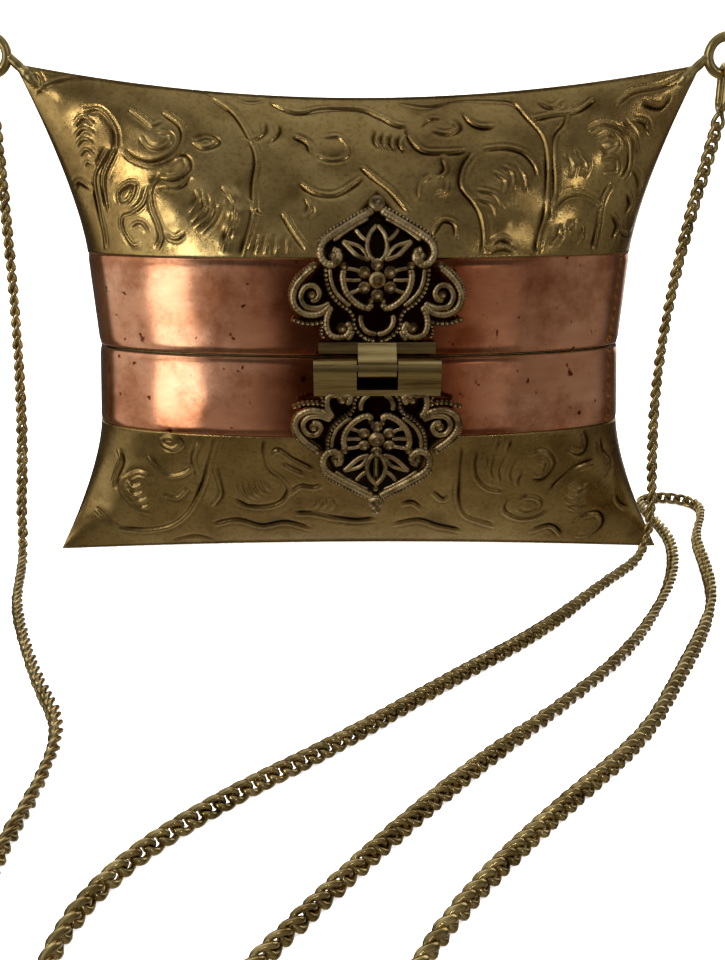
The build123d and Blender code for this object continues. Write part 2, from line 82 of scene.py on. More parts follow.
# Mesh helpers --------------------------------------------------------------------------------------


def new_object(name, points, faces, material, smooth=True):
    mesh = bpy.data.meshes.new(name)
    mesh.from_pydata([tuple(p) for p in points], [], [tuple(f) for f in faces])
    mesh.materials.append(material)
    if smooth:
        mesh.shade_smooth()
    obj = bpy.data.objects.new(name, mesh)
    bpy.context.scene.collection.objects.link(obj)
    return obj


def grid_faces(rows, columns, wrap_columns=False, wrap_rows=False, start=0):
    """Quads of a grid whose points run row by row."""
    last_row = rows if wrap_rows else rows - 1
    last_column = columns if wrap_columns else columns - 1
    faces = []
    for i in range(last_row):
        low, high = i * columns, ((i + 1) % rows) * columns
        for j in range(last_column):
            k = (j + 1) % columns
            faces.append((start + low + j, start + low + k, start + high + k, start + high + j))
    return faces


class Pile:
    """Collects points and faces of many small bodies for one mesh."""

    def __init__(self):
        self.points = []
        self.faces = []

    def add(self, points, faces):
        start = len(self.points)
        self.points.extend(points)
        self.faces.extend(tuple(start + k for k in face) for face in faces)

    def tube(self, path, radii, sides=8, closed=False, flat=1.0, normal=(0.0, 0.0, 1.0)):
        """A wire along a path, of one radius or one for each point; flat thins it along normal."""
        path = [np.array(p, float) for p in path]
        count = len(path)
        radii = np.broadcast_to(np.array(radii, float), (count,))
        points = []
        across = None
        for i, here in enumerate(path):
            before = path[i - 1] if closed or i else here
            after = path[(i + 1) % count] if closed or i < count - 1 else here
            along = after - before
            along = along / (np.linalg.norm(along) + 1e-12)
            guess = np.array(normal) if across is None else across
            guess = guess - along * guess.dot(along)
            if np.linalg.norm(guess) < 1e-6:
                guess = np.cross(along, (1.0, 0.0, 0.0))
            across = guess / np.linalg.norm(guess)
            up = np.cross(along, across)
            for k in range(sides):
                turn = 2 * math.pi * k / sides
                offset = across * math.cos(turn) * flat + up * math.sin(turn)
                points.append(here + radii[i] * offset)
        faces = grid_faces(count, sides, wrap_columns=True, wrap_rows=closed)
        if not closed:
            faces.append(tuple(range(sides))[::-1])
            faces.append(tuple((count - 1) * sides + k for k in range(sides)))
        self.add(points, faces)

    def ball(self, centre, radius, rings=5, sides=9, squash=1.0):
        centre = np.array(centre, float)
        points = [centre + (0, 0, radius * squash)]
        for i in range(1, rings):
            tilt = math.pi * i / rings
            for k in range(sides):
                turn = 2 * math.pi * k / sides
                offset = (math.sin(tilt) * math.cos(turn), math.sin(tilt) * math.sin(turn))
                points.append(centre + radius * np.array((*offset, math.cos(tilt) * squash)))
        points.append(centre - (0, 0, radius * squash))
        last = len(points) - 1
        faces = [(0, 1 + k, 1 + (k + 1) % sides) for k in range(sides)]
        faces += grid_faces(rings - 1, sides, wrap_columns=True, start=1)
        foot = 1 + (rings - 2) * sides
        faces += [(last, foot + (k + 1) % sides, foot + k) for k in range(sides)]
        self.add(points, faces)

    def placed(self, place):
        """The same pile with every point moved by a function."""
        moved = Pile()
        moved.points = [place(p) for p in self.points]
        moved.faces = self.faces
        return moved


def smooth_path(points, steps=6):
    """Points along a Catmull-Rom curve through given ones."""
    points = [np.array(p, float) for p in points]
    ends = [2 * points[0] - points[1]] + points + [2 * points[-1] - points[-2]]
    path = []
    for a, b, c, d in zip(ends, ends[1:], ends[2:], ends[3:]):
        for i in range(steps):
            t = i / steps
            square = 2 * a - 5 * b + 4 * c - d
            cube = 3 * b - a - 3 * c + d
            path.append(0.5 * (2 * b + (c - a) * t + square * t**2 + cube * t**3))
    path.append(points[-1])
    return path


def spaced(path, spacing):
    """Points at even distances along a path."""
    path = np.array(path)
    steps = np.linalg.norm(np.diff(path, axis=0), axis=1)
    reach = np.concatenate([[0], np.cumsum(steps)])
    places = np.arange(spacing / 2, reach[-1], spacing)
    return [np.array([np.interp(s, reach, path[:, k]) for k in range(path.shape[1])]) for s in places]


# Materials -----------------------------------------------------------------------------------------


class Shader:
    """A small wrapper that adds nodes to a material and links them."""

    def __init__(self, name):
        self.material = bpy.data.materials.new(name)
        self.material.use_nodes = True
        self.nodes = self.material.node_tree.nodes
        self.links = self.material.node_tree.links
        self.surface = self.nodes["Principled BSDF"]
        self.coordinates = self.nodes.new("ShaderNodeTexCoord").outputs["Object"]

    def noise(self, scale, detail=4.0, roughness=0.55, stretch=None):
        node = self.nodes.new("ShaderNodeTexNoise")
        node.inputs["Scale"].default_value = scale
        node.inputs["Detail"].default_value = detail
        node.inputs["Roughness"].default_value = roughness
        source = self.coordinates
        if stretch:
            mapping = self.nodes.new("ShaderNodeMapping")
            mapping.inputs["Scale"].default_value = stretch
            self.links.new(source, mapping.inputs["Vector"])
            source = mapping.outputs["Vector"]
        self.links.new(source, node.inputs["Vector"])
        return node.outputs["Fac"]

    def ramp(self, source, stops):
        node = self.nodes.new("ShaderNodeValToRGB")
        node.color_ramp.elements[0].position = stops[0][0]
        node.color_ramp.elements[0].color = (*stops[0][1], 1)
        node.color_ramp.elements[1].position = stops[-1][0]
        node.color_ramp.elements[1].color = (*stops[-1][1], 1)
        for position, colour in stops[1:-1]:
            element = node.color_ramp.elements.new(position)
            element.color = (*colour, 1)
        self.links.new(source, node.inputs["Fac"])
        return node.outputs["Color"]

    def mix(self, share, first, second, kind="MIX"):
        node = self.nodes.new("ShaderNodeMix")
        node.data_type = "RGBA"
        node.blend_type = kind
        for value, socket in ((share, node.inputs[0]), (first, node.inputs[6]), (second, node.inputs[7])):
            if isinstance(value, bpy.types.NodeSocket):
                self.links.new(value, socket)
            elif isinstance(value, tuple):
                socket.default_value = (*value, 1)
            else:
                socket.default_value = value
        return node.outputs[2]

    def between(self, source, low, high):
        """The source's 0 to 1 spread over another range."""
        node = self.nodes.new("ShaderNodeMapRange")
        node.inputs["To Min"].default_value = low
        node.inputs["To Max"].default_value = high
        self.links.new(source, node.inputs["Value"])
        return node.outputs["Result"]

    def attribute(self, name):
        node = self.nodes.new("ShaderNodeAttribute")
        node.attribute_name = name
        return node.outputs["Fac"]

    def bump(self, source, strength, distance):
        node = self.nodes.new("ShaderNodeBump")
        node.inputs["Strength"].default_value = strength
        node.inputs["Distance"].default_value = distance
        self.links.new(source, node.inputs["Height"])
        self.links.new(node.outputs["Normal"], self.surface.inputs["Normal"])

    def set(self, socket, value):
        target = self.surface.inputs[socket]
        if isinstance(value, bpy.types.NodeSocket):
            self.links.new(value, target)
        elif isinstance(value, tuple):
            target.default_value = (*value, 1)
        else:
            target.default_value = value


def embossed_brass():
    shader = Shader("embossed_brass")
    patina = shader.ramp(
        shader.noise(45, 7, 0.62),
        [(0.32, (0.21, 0.128, 0.042)), (0.5, (0.34, 0.225, 0.078)), (0.7, (0.47, 0.335, 0.13))],
    )
    specks = shader.ramp(shader.noise(1100, 3), [(0.34, (0.5, 0.45, 0.36)), (0.5, (1, 1, 1))])
    colour = shader.mix(0.45, patina, specks, "MULTIPLY")
    # Darker in the grooves of the embossing, and painted shade under the clasp's castings, both from the
    # shell's relief attribute
    groove_dark_and_casting_shade = shader.ramp(
        shader.attribute("relief"),
        [(0.02, (0.03, 0.022, 0.012)), (0.2, (0.36, 0.30, 0.2)), (0.42, (1, 1, 1))],
    )
    shader.set("Base Color", shader.mix(1.0, colour, groove_dark_and_casting_shade, "MULTIPLY"))
    shader.set("Metallic", 1.0)
    shader.set("Roughness", shader.between(shader.noise(95, 5, 0.6), 0.14, 0.40))
    shader.bump(shader.noise(240, 4, 0.6), 0.16, 0.0004)
    return shader.material


def copper():
    shader = Shader("copper")
    tint = shader.ramp(
        shader.noise(26, 6, 0.62, (1, 1, 2.4)),
        [(0.3, (0.44, 0.18, 0.088)), (0.5, (0.66, 0.31, 0.17)), (0.7, (0.82, 0.45, 0.28))],
    )
    spots = shader.ramp(shader.noise(520, 2, 0.4), [(0.25, (0.2, 0.09, 0.045)), (0.31, (1, 1, 1))])
    stains_and_casting_shade = shader.ramp(shader.noise(70, 7, 0.7), [(0.36, (0.52, 0.36, 0.24)), (0.52, (1, 1, 1))])
    worn = shader.mix(1.0, shader.mix(0.75, tint, stains_and_casting_shade, "MULTIPLY"), spots, "MULTIPLY")
    # Painted shade under and round the clasp's castings, from the band's attribute; 1 is unshaded
    unshaded = shader.ramp(
        shader.attribute("unshaded"),
        [
            (0.0, (0.035, 0.018, 0.012)), (0.25, (0.20, 0.085, 0.05)),
            (0.6, (0.46, 0.28, 0.2)), (1.0, (1, 1, 1)),
        ],
    )
    shader.set("Base Color", shader.mix(1.0, worn, unshaded, "MULTIPLY"))
    shader.set("Metallic", 1.0)
    shader.set("Roughness", shader.between(shader.noise(80, 5), 0.08, 0.22))
    shader.bump(shader.noise(130, 3, 0.5), 0.05, 0.0006)
    return shader.material


def cast_brass():
    shader = Shader("cast_brass")
    colour = shader.ramp(
        shader.noise(350, 5, 0.6),
        [(0.3, (0.12, 0.078, 0.035)), (0.5, (0.42, 0.30, 0.14)), (0.72, (0.66, 0.50, 0.27))],
    )
    shader.set("Base Color", colour)
    shader.set("Metallic", 1.0)
    shader.set("Roughness", shader.between(shader.noise(500, 4), 0.25, 0.5))
    shader.bump(shader.noise(1500, 3), 0.25, 0.0002)
    return shader.material


def rolled_brass():
    """The clasp's knuckles and leaves: thin rolled sheet with fine marks along it."""
    shader = Shader("rolled_brass")
    marks = shader.noise(300, 5, 0.7, (0.12, 1, 2.5))
    colour = shader.ramp(
        marks, [(0.32, (0.14, 0.09, 0.03)), (0.5, (0.37, 0.265, 0.10)), (0.7, (0.55, 0.42, 0.19))]
    )
    shader.set("Base Color", colour)
    shader.set("Metallic", 1.0)
    shader.set("Roughness", 0.32)
    shader.bump(marks, 0.3, 0.0003)
    return shader.material


def plain_metal(name, dark, light, roughness):
    shader = Shader(name)
    shader.set("Base Color", shader.ramp(shader.noise(260, 4), [(0.3, dark), (0.7, light)]))
    shader.set("Metallic", 1.0)
    shader.set("Roughness", roughness)
    shader.bump(shader.noise(700, 3), 0.1, 0.0002)
    return shader.material


def velvet():
    shader = Shader("velvet")
    pile = shader.noise(2500, 3)
    shader.set("Base Color", shader.ramp(pile, [(0.3, (0.03, 0.004, 0.008)), (0.7, (0.10, 0.012, 0.02))]))
    shader.set("Roughness", 0.95)
    shader.set("Sheen Weight", 0.6)
    shader.bump(pile, 0.5, 0.0003)
    return shader.material


def stage_paper():
    shader = Shader("stage_paper")
    pale = [(0.3, (0.90, 0.90, 0.90)), (0.7, (0.92, 0.92, 0.92))]
    shader.set("Base Color", shader.ramp(shader.noise(3, 2), pale))
    shader.set("Roughness", 0.9)
    shader.set("Emission Color", (1.0, 1.0, 1.0))
    shader.set("Emission Strength", 0.42)
    return shader.material


SHELL_BRASS = embossed_brass()
COPPER = copper()
CAST_BRASS = cast_brass()
ROLLED_BRASS = rolled_brass()
PLAIN_BRASS = plain_metal("plain_brass", (0.30, 0.22, 0.08), (0.55, 0.43, 0.18), 0.3)
CHAIN_BRASS = plain_metal("chain_brass", (0.26, 0.18, 0.06), (0.62, 0.47, 0.20), 0.22)
PIN_METAL = plain_metal("pin_metal", (0.2, 0.18, 0.15), (0.4, 0.37, 0.3), 0.35)
VELVET = velvet()


# Embossed pattern ----------------------------------------------------------------------------------

# Motifs are placed on a shell's face in millimetres: across from its middle, and up from its band.


def vines(*strokes):
    return [[tuple(p) for p in smooth_path(points, 5)] for points in strokes]


UPPER_MOTIFS = vines(
    # left third
    ((-71, 33), (-67, 36.5), (-59, 39), (-45, 38.5), (-35, 38), (-29, 34.4), (-26, 31.3), (-23, 25.6),
         (-22, 21.4), (-22.6, 16), (-22.6, 11), (-23.1, 7), (-25, 0.3)),
    ((-74, 37), (-70, 38), (-69, 35), (-72, 33.5)),
    ((-62, 27.2), (-60, 29.4), (-57.6, 28.4)),
    ((-62.2, 24.8), (-60, 27), (-57.6, 26.2)),
    ((-62, 22.6), (-60, 24.6), (-57.8, 24)),
    ((-61.4, 20.6), (-59.6, 22.4), (-57.8, 21.6)),
    ((-60.6, 18.4), (-59.4, 19.8), (-58, 19)),
    ((-60, 31), (-56, 31.4), (-53, 27.5), (-52.6, 23)),
    ((-54.6, 23), (-57.7, 16.4), (-57.2, 9.7), (-56.2, 4), (-56.2, 1.0)),
    ((-52.5, 23.6), (-55.6, 16.4), (-55, 9)),
    ((-64, 13.5), (-62, 15.4), (-59, 14)),
    ((-42.7, 32.3), (-38.7, 29.2), (-38.1, 25.6), (-40.2, 22), (-44.8, 20), (-49, 21), (-51, 22.6)),
    ((-47.1, 26.1), (-45.8, 24), (-43.2, 23.6), (-40.9, 25.1), (-41.2, 26.9), (-43.8, 27.4)),
    ((-50, 32.3), (-47.4, 30.6), (-44.9, 28.9), (-43, 30)),
    ((-36, 25.6), (-33.5, 24.3), (-30.8, 25.6), (-33, 26.6), (-36, 25.6)),
    ((-52, 10.6), (-52.5, 13.2), (-50.4, 15.3), (-48.6, 15.4), (-49.6, 12), (-52, 10.6)),
    ((-45.3, 15.3), (-46.8, 11.2), (-49.4, 9.1), (-51.4, 8.2), (-51.5, 5.5), (-49.4, 2.4), (-47.2, 2.8)),
    ((-42.7, 17.9), (-44.8, 14.8), (-44.8, 11.2), (-43.2, 7), (-42.5, 4), (-43.8, 1.3)),
    ((-43, 17.2), (-39.6, 17.3), (-37, 19.4), (-37.6, 21.6), (-40, 21.4)),
    ((-43.2, 15.3), (-39.1, 15.3), (-36.5, 17.9)),
    ((-35, 14.8), (-34.5, 12.7), (-36.5, 9.6)),
    ((-33.4, 14), (-33.2, 10.7), (-36, 7.6)),
    ((-31.6, 12.6), (-32.2, 9.2), (-35.5, 6.3)),
    ((-29.8, 11.3), (-31.4, 7.8), (-34, 5.2)),
    ((-42.2, 5), (-39.6, 3.8), (-37.4, 5.2)),
    ((-50, 6), (-47.4, 7.2), (-45.4, 5)),
    ((-23.6, 26.1), (-21, 28.1), (-21, 30.4)),
    ((-20, 25.6), (-18, 28.1), (-18, 30)),
    ((-29.4, 16), (-27, 12.3), (-26.6, 8.6), (-28, 5.3), (-29.4, 1.2)),
    ((-22.6, 4.4), (-24, 1.6)),
    ((-21, 5), (-22.2, 0.8)),
    ((-19.2, 5.2), (-20.2, 0.8)),
    ((-17.2, 5), (-17.8, 0.8)),
    ((-15.2, 4.6), (-15.4, 0.8)),
    ((-21, 9), (-22.4, 10), (-23, 12)),
    ((-16.4, 10.1), (-13.8, 5.5), (-11.2, 1.9)),
    ((-14.3, 27.7), (-11.2, 26.1), (-10.1, 23)),
    ((-7.6, 27.1), (-4.5, 27.4), (-2.4, 24.6), (-3.4, 22.5), (-6.5, 22), (-9.1, 23)),
    ((-12.7, 16.7), (-9.6, 14.6), (-5.5, 14.1), (-1.9, 16.2), (0.4, 18)),
    ((-11.4, 13.4), (-10.6, 11.4), (-11.4, 9)),
    ((-9.6, 12.4), (-9.2, 9.6)),
    ((-20, 36), (-14, 33.4), (-8, 34.6), (0, 34.4), (4.2, 32.6), (7.8, 30.5), (10.5, 30)),
    ((-30, 39), (-24, 36), (-17, 38), (-10, 37)),
    # right two thirds
    ((10.5, 30), (11, 27.4), (13.6, 24.2), (18.3, 23.7), (23, 24)),
    ((4.2, 28.8), (3.6, 26.6), (4.6, 24.6)),
    ((5.8, 28.4), (5.2, 26.2), (6.2, 24.2)),
    ((7.6, 28), (7, 26), (8, 24)),
    ((9.4, 27.6), (8.8, 25.6), (10, 23.8)),
    ((13.1, 29.5), (15.2, 31.6), (17.8, 31.6)),
    ((15.7, 28.7), (18.8, 27.9), (21.4, 29.2), (20, 30.8)),
    ((22.5, 33.7), (24.1, 31), (26.2, 29.7), (29.3, 29.5)),
    ((8, 36.4), (15, 35), (22, 36.4), (30, 36), (34, 35), (36.6, 31.6), (39.7, 27.4), (40.8, 23.7),
           (41, 19), (40.8, 14.8), (40.3, 9.1), (39, 4.9), (38.2, 0.8)),
    ((46, 33.1), (45, 29), (42.9, 26.3), (42.4, 22.1), (42.6, 15), (41.4, 8)),
    ((37.7, 31), (41.8, 31.6), (47, 32.1), (51.3, 34.7)),
    ((39, 35), (42, 33.4), (44.6, 35)),
    ((24.6, 23.2), (22.5, 20), (22, 15.9), (24.6, 12.2), (26.2, 8.6), (26.7, 3.8), (26.2, 1)),
    ((26.7, 24.2), (31.4, 24.5), (35.6, 23.2), (38.2, 20), (38.7, 16.9)),
    ((28.8, 19), (31.4, 16.9), (31.4, 13.8)),
    ((30.9, 20.2), (33, 18.5), (33.2, 14.8)),
    ((33.5, 20.8), (35.6, 18), (36.1, 14.3)),
    ((25.1, 15), (28.8, 13.8), (30.9, 10.6)),
    ((25.4, 13), (28.2, 11.6), (29.6, 8.6)),
    ((28, 3), (30, 4.2), (32.6, 3.2)),
    ((27.4, 1.2), (30, 2.2), (33.4, 1.4)),
    ((18, 22.7), (18.6, 19.5), (16.7, 17.4)),
    ((15.4, 18.2), (13.1, 16.4), (12.8, 12.7)),
    ((18.8, 17.4), (18.6, 14.8), (16.2, 13.5)),
    ((0.4, 20.6), (3.1, 18), (6.8, 14.8), (10.5, 10.1)),
    ((15, 5), (17.4, 8.4), (20.4, 7.4), (20.6, 4)),
    ((49.7, 27.4), (52.8, 28.8), (56.5, 27.4), (59.1, 24.2), (59.6, 19), (58, 15.9)),
    ((51.6, 25), (54.4, 26.2), (56.4, 23.6), (54, 22), (52.4, 23.4)),
    ((52.6, 21), (56, 21), (56.6, 17.8), (53.4, 17.6)),
    ((45, 22.7), (46.5, 20), (46, 16.9)),
    ((47, 23.4), (49.4, 20), (48.6, 16.9)),
    ((57.6, 29), (60.1, 25.6), (61.6, 21.1)),
    ((60.1, 29.4), (62.8, 28.2), (64, 25.4)),
    ((62, 33), (66, 31.4), (68, 33.6)),
    ((56, 33), (60, 35.6), (66, 36), (71, 37.5)),
    ((41.8, 10.6), (44.5, 13), (48.1, 13.5), (51.8, 11.7), (53, 10.4)),
    ((55.4, 15.4), (53.3, 11.7), (52.6, 6.5), (51.5, 1.0)),
    ((43.4, 7), (43.4, 4.4), (41.3, 2)),
    ((46, 8), (46, 5)),
    ((48.6, 6.5), (48.6, 3.8), (47.3, 2.3)),
    ((56, 9), (57.6, 6), (56.6, 3)),
    ((60.4, 18.6), (62, 16.4), (63, 13.2)),
    ((59.6, 13.4), (60.6, 10.4), (59.4, 8)),
    ((58, 5.6), (60, 4), (61.6, 5.4)),
)

LOWER_MOTIFS = vines(
    # left half
    ((-45.7, 1.8), (-44.4, 0.9), (-42.6, 1), (-41.2, 2), (-43, 3.3), (-45.2, 2.8), (-45.7, 1.8)),
    ((-49.5, 5.7), (-47.5, 8.3), (-44.8, 9.7), (-41.2, 8.9), (-39, 7.3)),
    ((-55.5, 11), (-57.2, 12), (-57.7, 14.1), (-56.3, 16.4), (-54.1, 18.3), (-51, 19)),
    ((-55.5, 11), (-52.8, 9.5), (-50.1, 10), (-49.9, 11.4)),
    ((-55.5, 11.9), (-54.1, 13), (-52, 12.2)),
    ((-55.9, 13.7), (-54.1, 14.9), (-51.6, 13.8)),
    ((-55.5, 15.2), (-53.2, 16.2), (-50.6, 15)),
    ((-54.4, 16.8), (-52.8, 17.8), (-50.6, 16.8)),
    ((-57.2, 5), (-56.6, 7.6), (-58.1, 10.5), (-59.6, 14)),
    ((-65, 20), (-61, 22.6), (-58.6, 23.6), (-53.2, 23.5), (-47, 22), (-42.6, 19.2), (-39, 15),
           (-36.3, 10.2), (-34.6, 5.3), (-32.8, 0.8)),
    ((-38, 9.4), (-38.6, 5), (-36.6, 1.4)),
    ((-34.1, 6.2), (-33.2, 11), (-33.4, 13.6), (-36, 16.4)),
    ((-28.5, 10), (-28, 12.8), (-26.2, 14.6)),
    ((-27.1, 9.6), (-26.7, 12.2), (-24.8, 14)),
    ((-25.7, 9.2), (-25.3, 11.6), (-23.4, 13.4)),
    ((-24.3, 8.8), (-23.9, 11), (-22, 12.8)),
    ((-22.9, 8.6), (-22.4, 10.4), (-20.6, 12)),
    ((-30.6, 14.2), (-27.5, 16), (-23, 16.2), (-18.6, 14.7), (-16.6, 11.7), (-17.7, 9.1), (-20.8, 6.7),
           (-21.7, 3.6), (-21, 0.4)),
    ((-20.3, 4), (-18.6, 2.8), (-15.9, 4.6), (-12.8, 6.2), (-10.6, 7.2)),
    ((-18.6, 5.4), (-16, 6.8), (-12.6, 8.4)),
    ((-16.6, 13), (-14.1, 11), (-11, 11.2), (-8.4, 10.4)),
    ((-10.6, 12.6), (-10, 14.4), (-11, 16)),
    ((-8.8, 12.4), (-8.2, 14.4), (-9, 16)),
    ((-7, 12.8), (-6.4, 14.8), (-7, 16.4)),
    ((-15.9, 17.6), (-11, 17.6), (-6.6, 18.6), (-1, 19.4), (4, 18.8)),
    ((-36, 21), (-30, 19.6), (-24, 21), (-18, 20), (-12, 21.4)),
    ((-47, 26), (-41, 24.4), (-36, 25.4)),
    ((-40.6, 12), (-43.6, 14.6), (-47, 14)),
    # right half
    ((22.6, 2), (22.6, 8.9), (23, 14.3), (25.3, 18.2), (28.9, 19.9), (33.3, 21.5)),
    ((28.9, 4.7), (29.2, 6.2), (28.8, 8)),
    ((30.6, 4.4), (30.2, 7.6), (31.1, 9.8)),
    ((33.3, 4.9), (32, 7.4), (32.9, 10.6)),
    ((36, 5.6), (34.8, 8.3), (35.5, 10.8)),
    ((38, 8), (36.9, 10.2), (37.4, 12)),
    ((31.5, 0.5), (30.6, 3)),
    ((34.2, 0.6), (33.3, 3.4)),
    ((26.4, 3), (26, 6), (27, 9.4), (30, 12), (34, 13)),
    ((39.1, 4.9), (42.6, 4.2), (45.3, 7.2), (43.1, 10), (40.8, 9.6)),
    ((41.4, 6.6), (43, 7), (42.6, 8.4)),
    ((36.4, 13.4), (34.6, 15.4), (34.8, 17.7), (36.9, 19.2), (40, 20), (44, 19.6), (46.6, 17.6)),
    ((37.8, 15.5), (40, 14.4), (43.1, 15.4), (43.5, 17.4), (40.4, 18.4), (37.8, 17.3)),
    ((49.8, 12.2), (52.4, 13.7), (54.9, 12.8)),
    ((49.3, 14), (52, 15.3), (55.1, 14.4)),
    ((49.3, 15.8), (52, 17), (55.1, 16.2)),
    ((50.2, 17.6), (52.9, 18.6), (55.4, 18)),
    ((45.6, 14), (48, 11.4), (50.6, 9.4), (52.9, 8.6), (56, 8.2)),
    ((51.5, 0.6), (52.9, 3.3), (52, 5.4), (48.9, 4.2)),
    ((56.6, 3), (57.4, 6), (60, 9), (59, 12)),
    ((52, 22.6), (55.1, 20.6), (58.6, 20.6), (59.8, 23), (57, 25.4), (53.8, 25.4)),
    ((62, 16), (63.6, 19), (66.4, 21)),
    ((42, 23.4), (47, 22.4), (50.4, 25)),
    ((9.8, 15.4), (12.4, 15), (14.6, 16.5)),
    ((16.6, 12), (19.4, 14.4), (21.3, 13.8)),
    ((8, 20.4), (14, 19.4), (19, 21), (25, 22.4)),
)

# Wide soft swellings of the sheet: across, up, radius, height
UPPER_SWELLS = (
    (-50, 8, 4.6, 0.6), (-40.5, 9.5, 4.6, 0.75), (-59.6, 24, 3.6, 0.45), (-56.6, 17, 2.0, 0.4),
    (-43.5, 25.4, 3.2, 0.4), (-33.4, 25.4, 2.2, 0.35), (-27.6, 13.6, 1.3, 0.5), (-26.6, 10, 1.3, 0.55),
    (-27.2, 6.4, 1.3, 0.55), (-28.6, 2.6, 1.3, 0.5), (-55, 31.5, 3.4, 0.4), (-66, 33, 3.0, 0.5),
    (-18.6, 3, 3.0, 0.3), (-5.4, 24.6, 3.0, 0.35), (17, 29.6, 3.2, 0.35), (15.6, 15.4, 3.0, 0.35),
    (31.6, 7.4, 2.4, 0.55), (29.6, 13, 3.6, 0.4), (34, 17, 3.4, 0.4), (41, 12, 1.4, 0.35),
    (47.6, 8.4, 4.2, 0.45), (54, 22.6, 4.6, 0.5), (47.4, 19.6, 2.4, 0.35), (59.6, 24.4, 2.4, 0.4),
)
LOWER_SWELLS = (
    (-43.4, 2.2, 1.9, 0.4), (-44, 6.2, 3.4, 0.4), (-53.4, 14, 4.2, 0.5),
    (-60.6, 21, 3.0, 0.6), (-46, 17, 6, 0.35),
    (-36.6, 3, 2.2, 0.4), (-28, 5, 5, 0.35), (-24.6, 12, 3.6, 0.35), (-17, 9, 3, 0.3), (-9, 14.6, 3.4, 0.3),
    (32, 8, 4, 0.4), (42.4, 7, 2.6, 0.45), (40.4, 17, 4, 0.4), (52.4, 15, 3.6, 0.45), (56, 23, 3.0, 0.4),
    (51, 3, 2.4, 0.35), (28, 16, 4, 0.3), (61, 12, 3.4, 0.35),
)

LINE_WIDTH = 0.29
LINE_HEIGHT = 0.25
GROOVE_DEPTH = 0.16
STEP_HEIGHT = 0.11
STEP_REACH = 1.25
TAPER = 1.7


# Half width of the clasp's casting at each height up from its straight end
CASTING_OUTLINE_UP = (-3, 0, 3.4, 4, 8, 12, 16, 18, 22, 24, 27, 30.5, 32.5)
CASTING_OUTLINE_HALF = (13, 11.5, 12, 18, 18.6, 17.4, 13.5, 12.6, 12, 10, 5, 1.8, 0)


def painted_casting_shade(x, up, overlap):
    """Painted shade on the sheet under a casting: 1 under its openings, where the gaps behind the filigree
    read dark, and a soft painted shade round it.
    """
    half = np.interp(up, CASTING_OUTLINE_UP, CASTING_OUTLINE_HALF, left=0, right=0)
    inside = np.clip((half - np.abs(x)) / 1.4 - 0.35, 0, 1)
    casting_shade = np.exp(-((x / 23) ** 2) - ((up - 6) / 26) ** 2)
    return np.maximum(inside, overlap * casting_shade)


def nearest_stroke(x, y, strokes):
    """Signed distance from each point to the nearest stroke, and how full the stroke is there."""
    nearest = np.full(x.shape, 9.0)
    side = np.ones(x.shape)
    fullness = np.zeros(x.shape)
    for stroke in strokes:
        lengths = [math.dist(a, b) for a, b in zip(stroke, stroke[1:])]
        whole, start = sum(lengths), 0.0
        for (ax, ay), (bx, by), length in zip(stroke, stroke[1:], lengths):
            close = np.nonzero(
                (x > min(ax, bx) - 3) & (x < max(ax, bx) + 3) & (y > min(ay, by) - 3) & (y < max(ay, by) + 3)
            )
            px, py = x[close], y[close]
            t = np.clip(((px - ax) * (bx - ax) + (py - ay) * (by - ay)) / (length**2 + 1e-9), 0, 1)
            gap = np.hypot(px - ax - t * (bx - ax), py - ay - t * (by - ay))
            place = start + t * length
            full = np.clip(np.minimum(place, whole - place) / TAPER, 0, 1) ** 0.7
            left = np.sign((bx - ax) * (py - ay) - (by - ay) * (px - ax) + 1e-9)
            better = gap < nearest[close]
            nearest[close] = np.where(better, gap, nearest[close])
            side[close] = np.where(better, left, side[close])
            fullness[close] = np.where(better, full, fullness[close])
            start += length
    return nearest, side, fullness


def relief(x, y, reach, strokes, swells):
    """Height of the embossing at points on a face, in millimetres, fading out at its ends."""
    gap, side, fullness = nearest_stroke(x, y, strokes)
    height = LINE_HEIGHT * np.exp(-((gap / LINE_WIDTH) ** 2))
    height -= GROOVE_DEPTH * np.exp(-(((gap - 2.2 * LINE_WIDTH) / LINE_WIDTH) ** 2))
    height += STEP_HEIGHT * np.tanh(side * gap / LINE_WIDTH) * np.exp(-((gap / STEP_REACH) ** 2))
    height *= fullness
    for sx, sy, radius, swell in swells:
        height += swell * np.exp(-(((x - sx) ** 2 + (y - sy) ** 2) / radius**2)) * 0.8
    height += 0.04 * np.sin(x * 0.53 + y * 0.2) * np.sin(y * 0.37 - 1.1)
    height += 0.07 * np.sin(x * 0.31 + 1.3 * np.sin(y * 0.22)) * np.sin(y * 0.41 + 0.8 * np.sin(x * 0.17))
    fade = np.clip(y / 0.8, 0, 1) * np.clip((reach - y) / 2.5, 0, 1)
    return height * fade


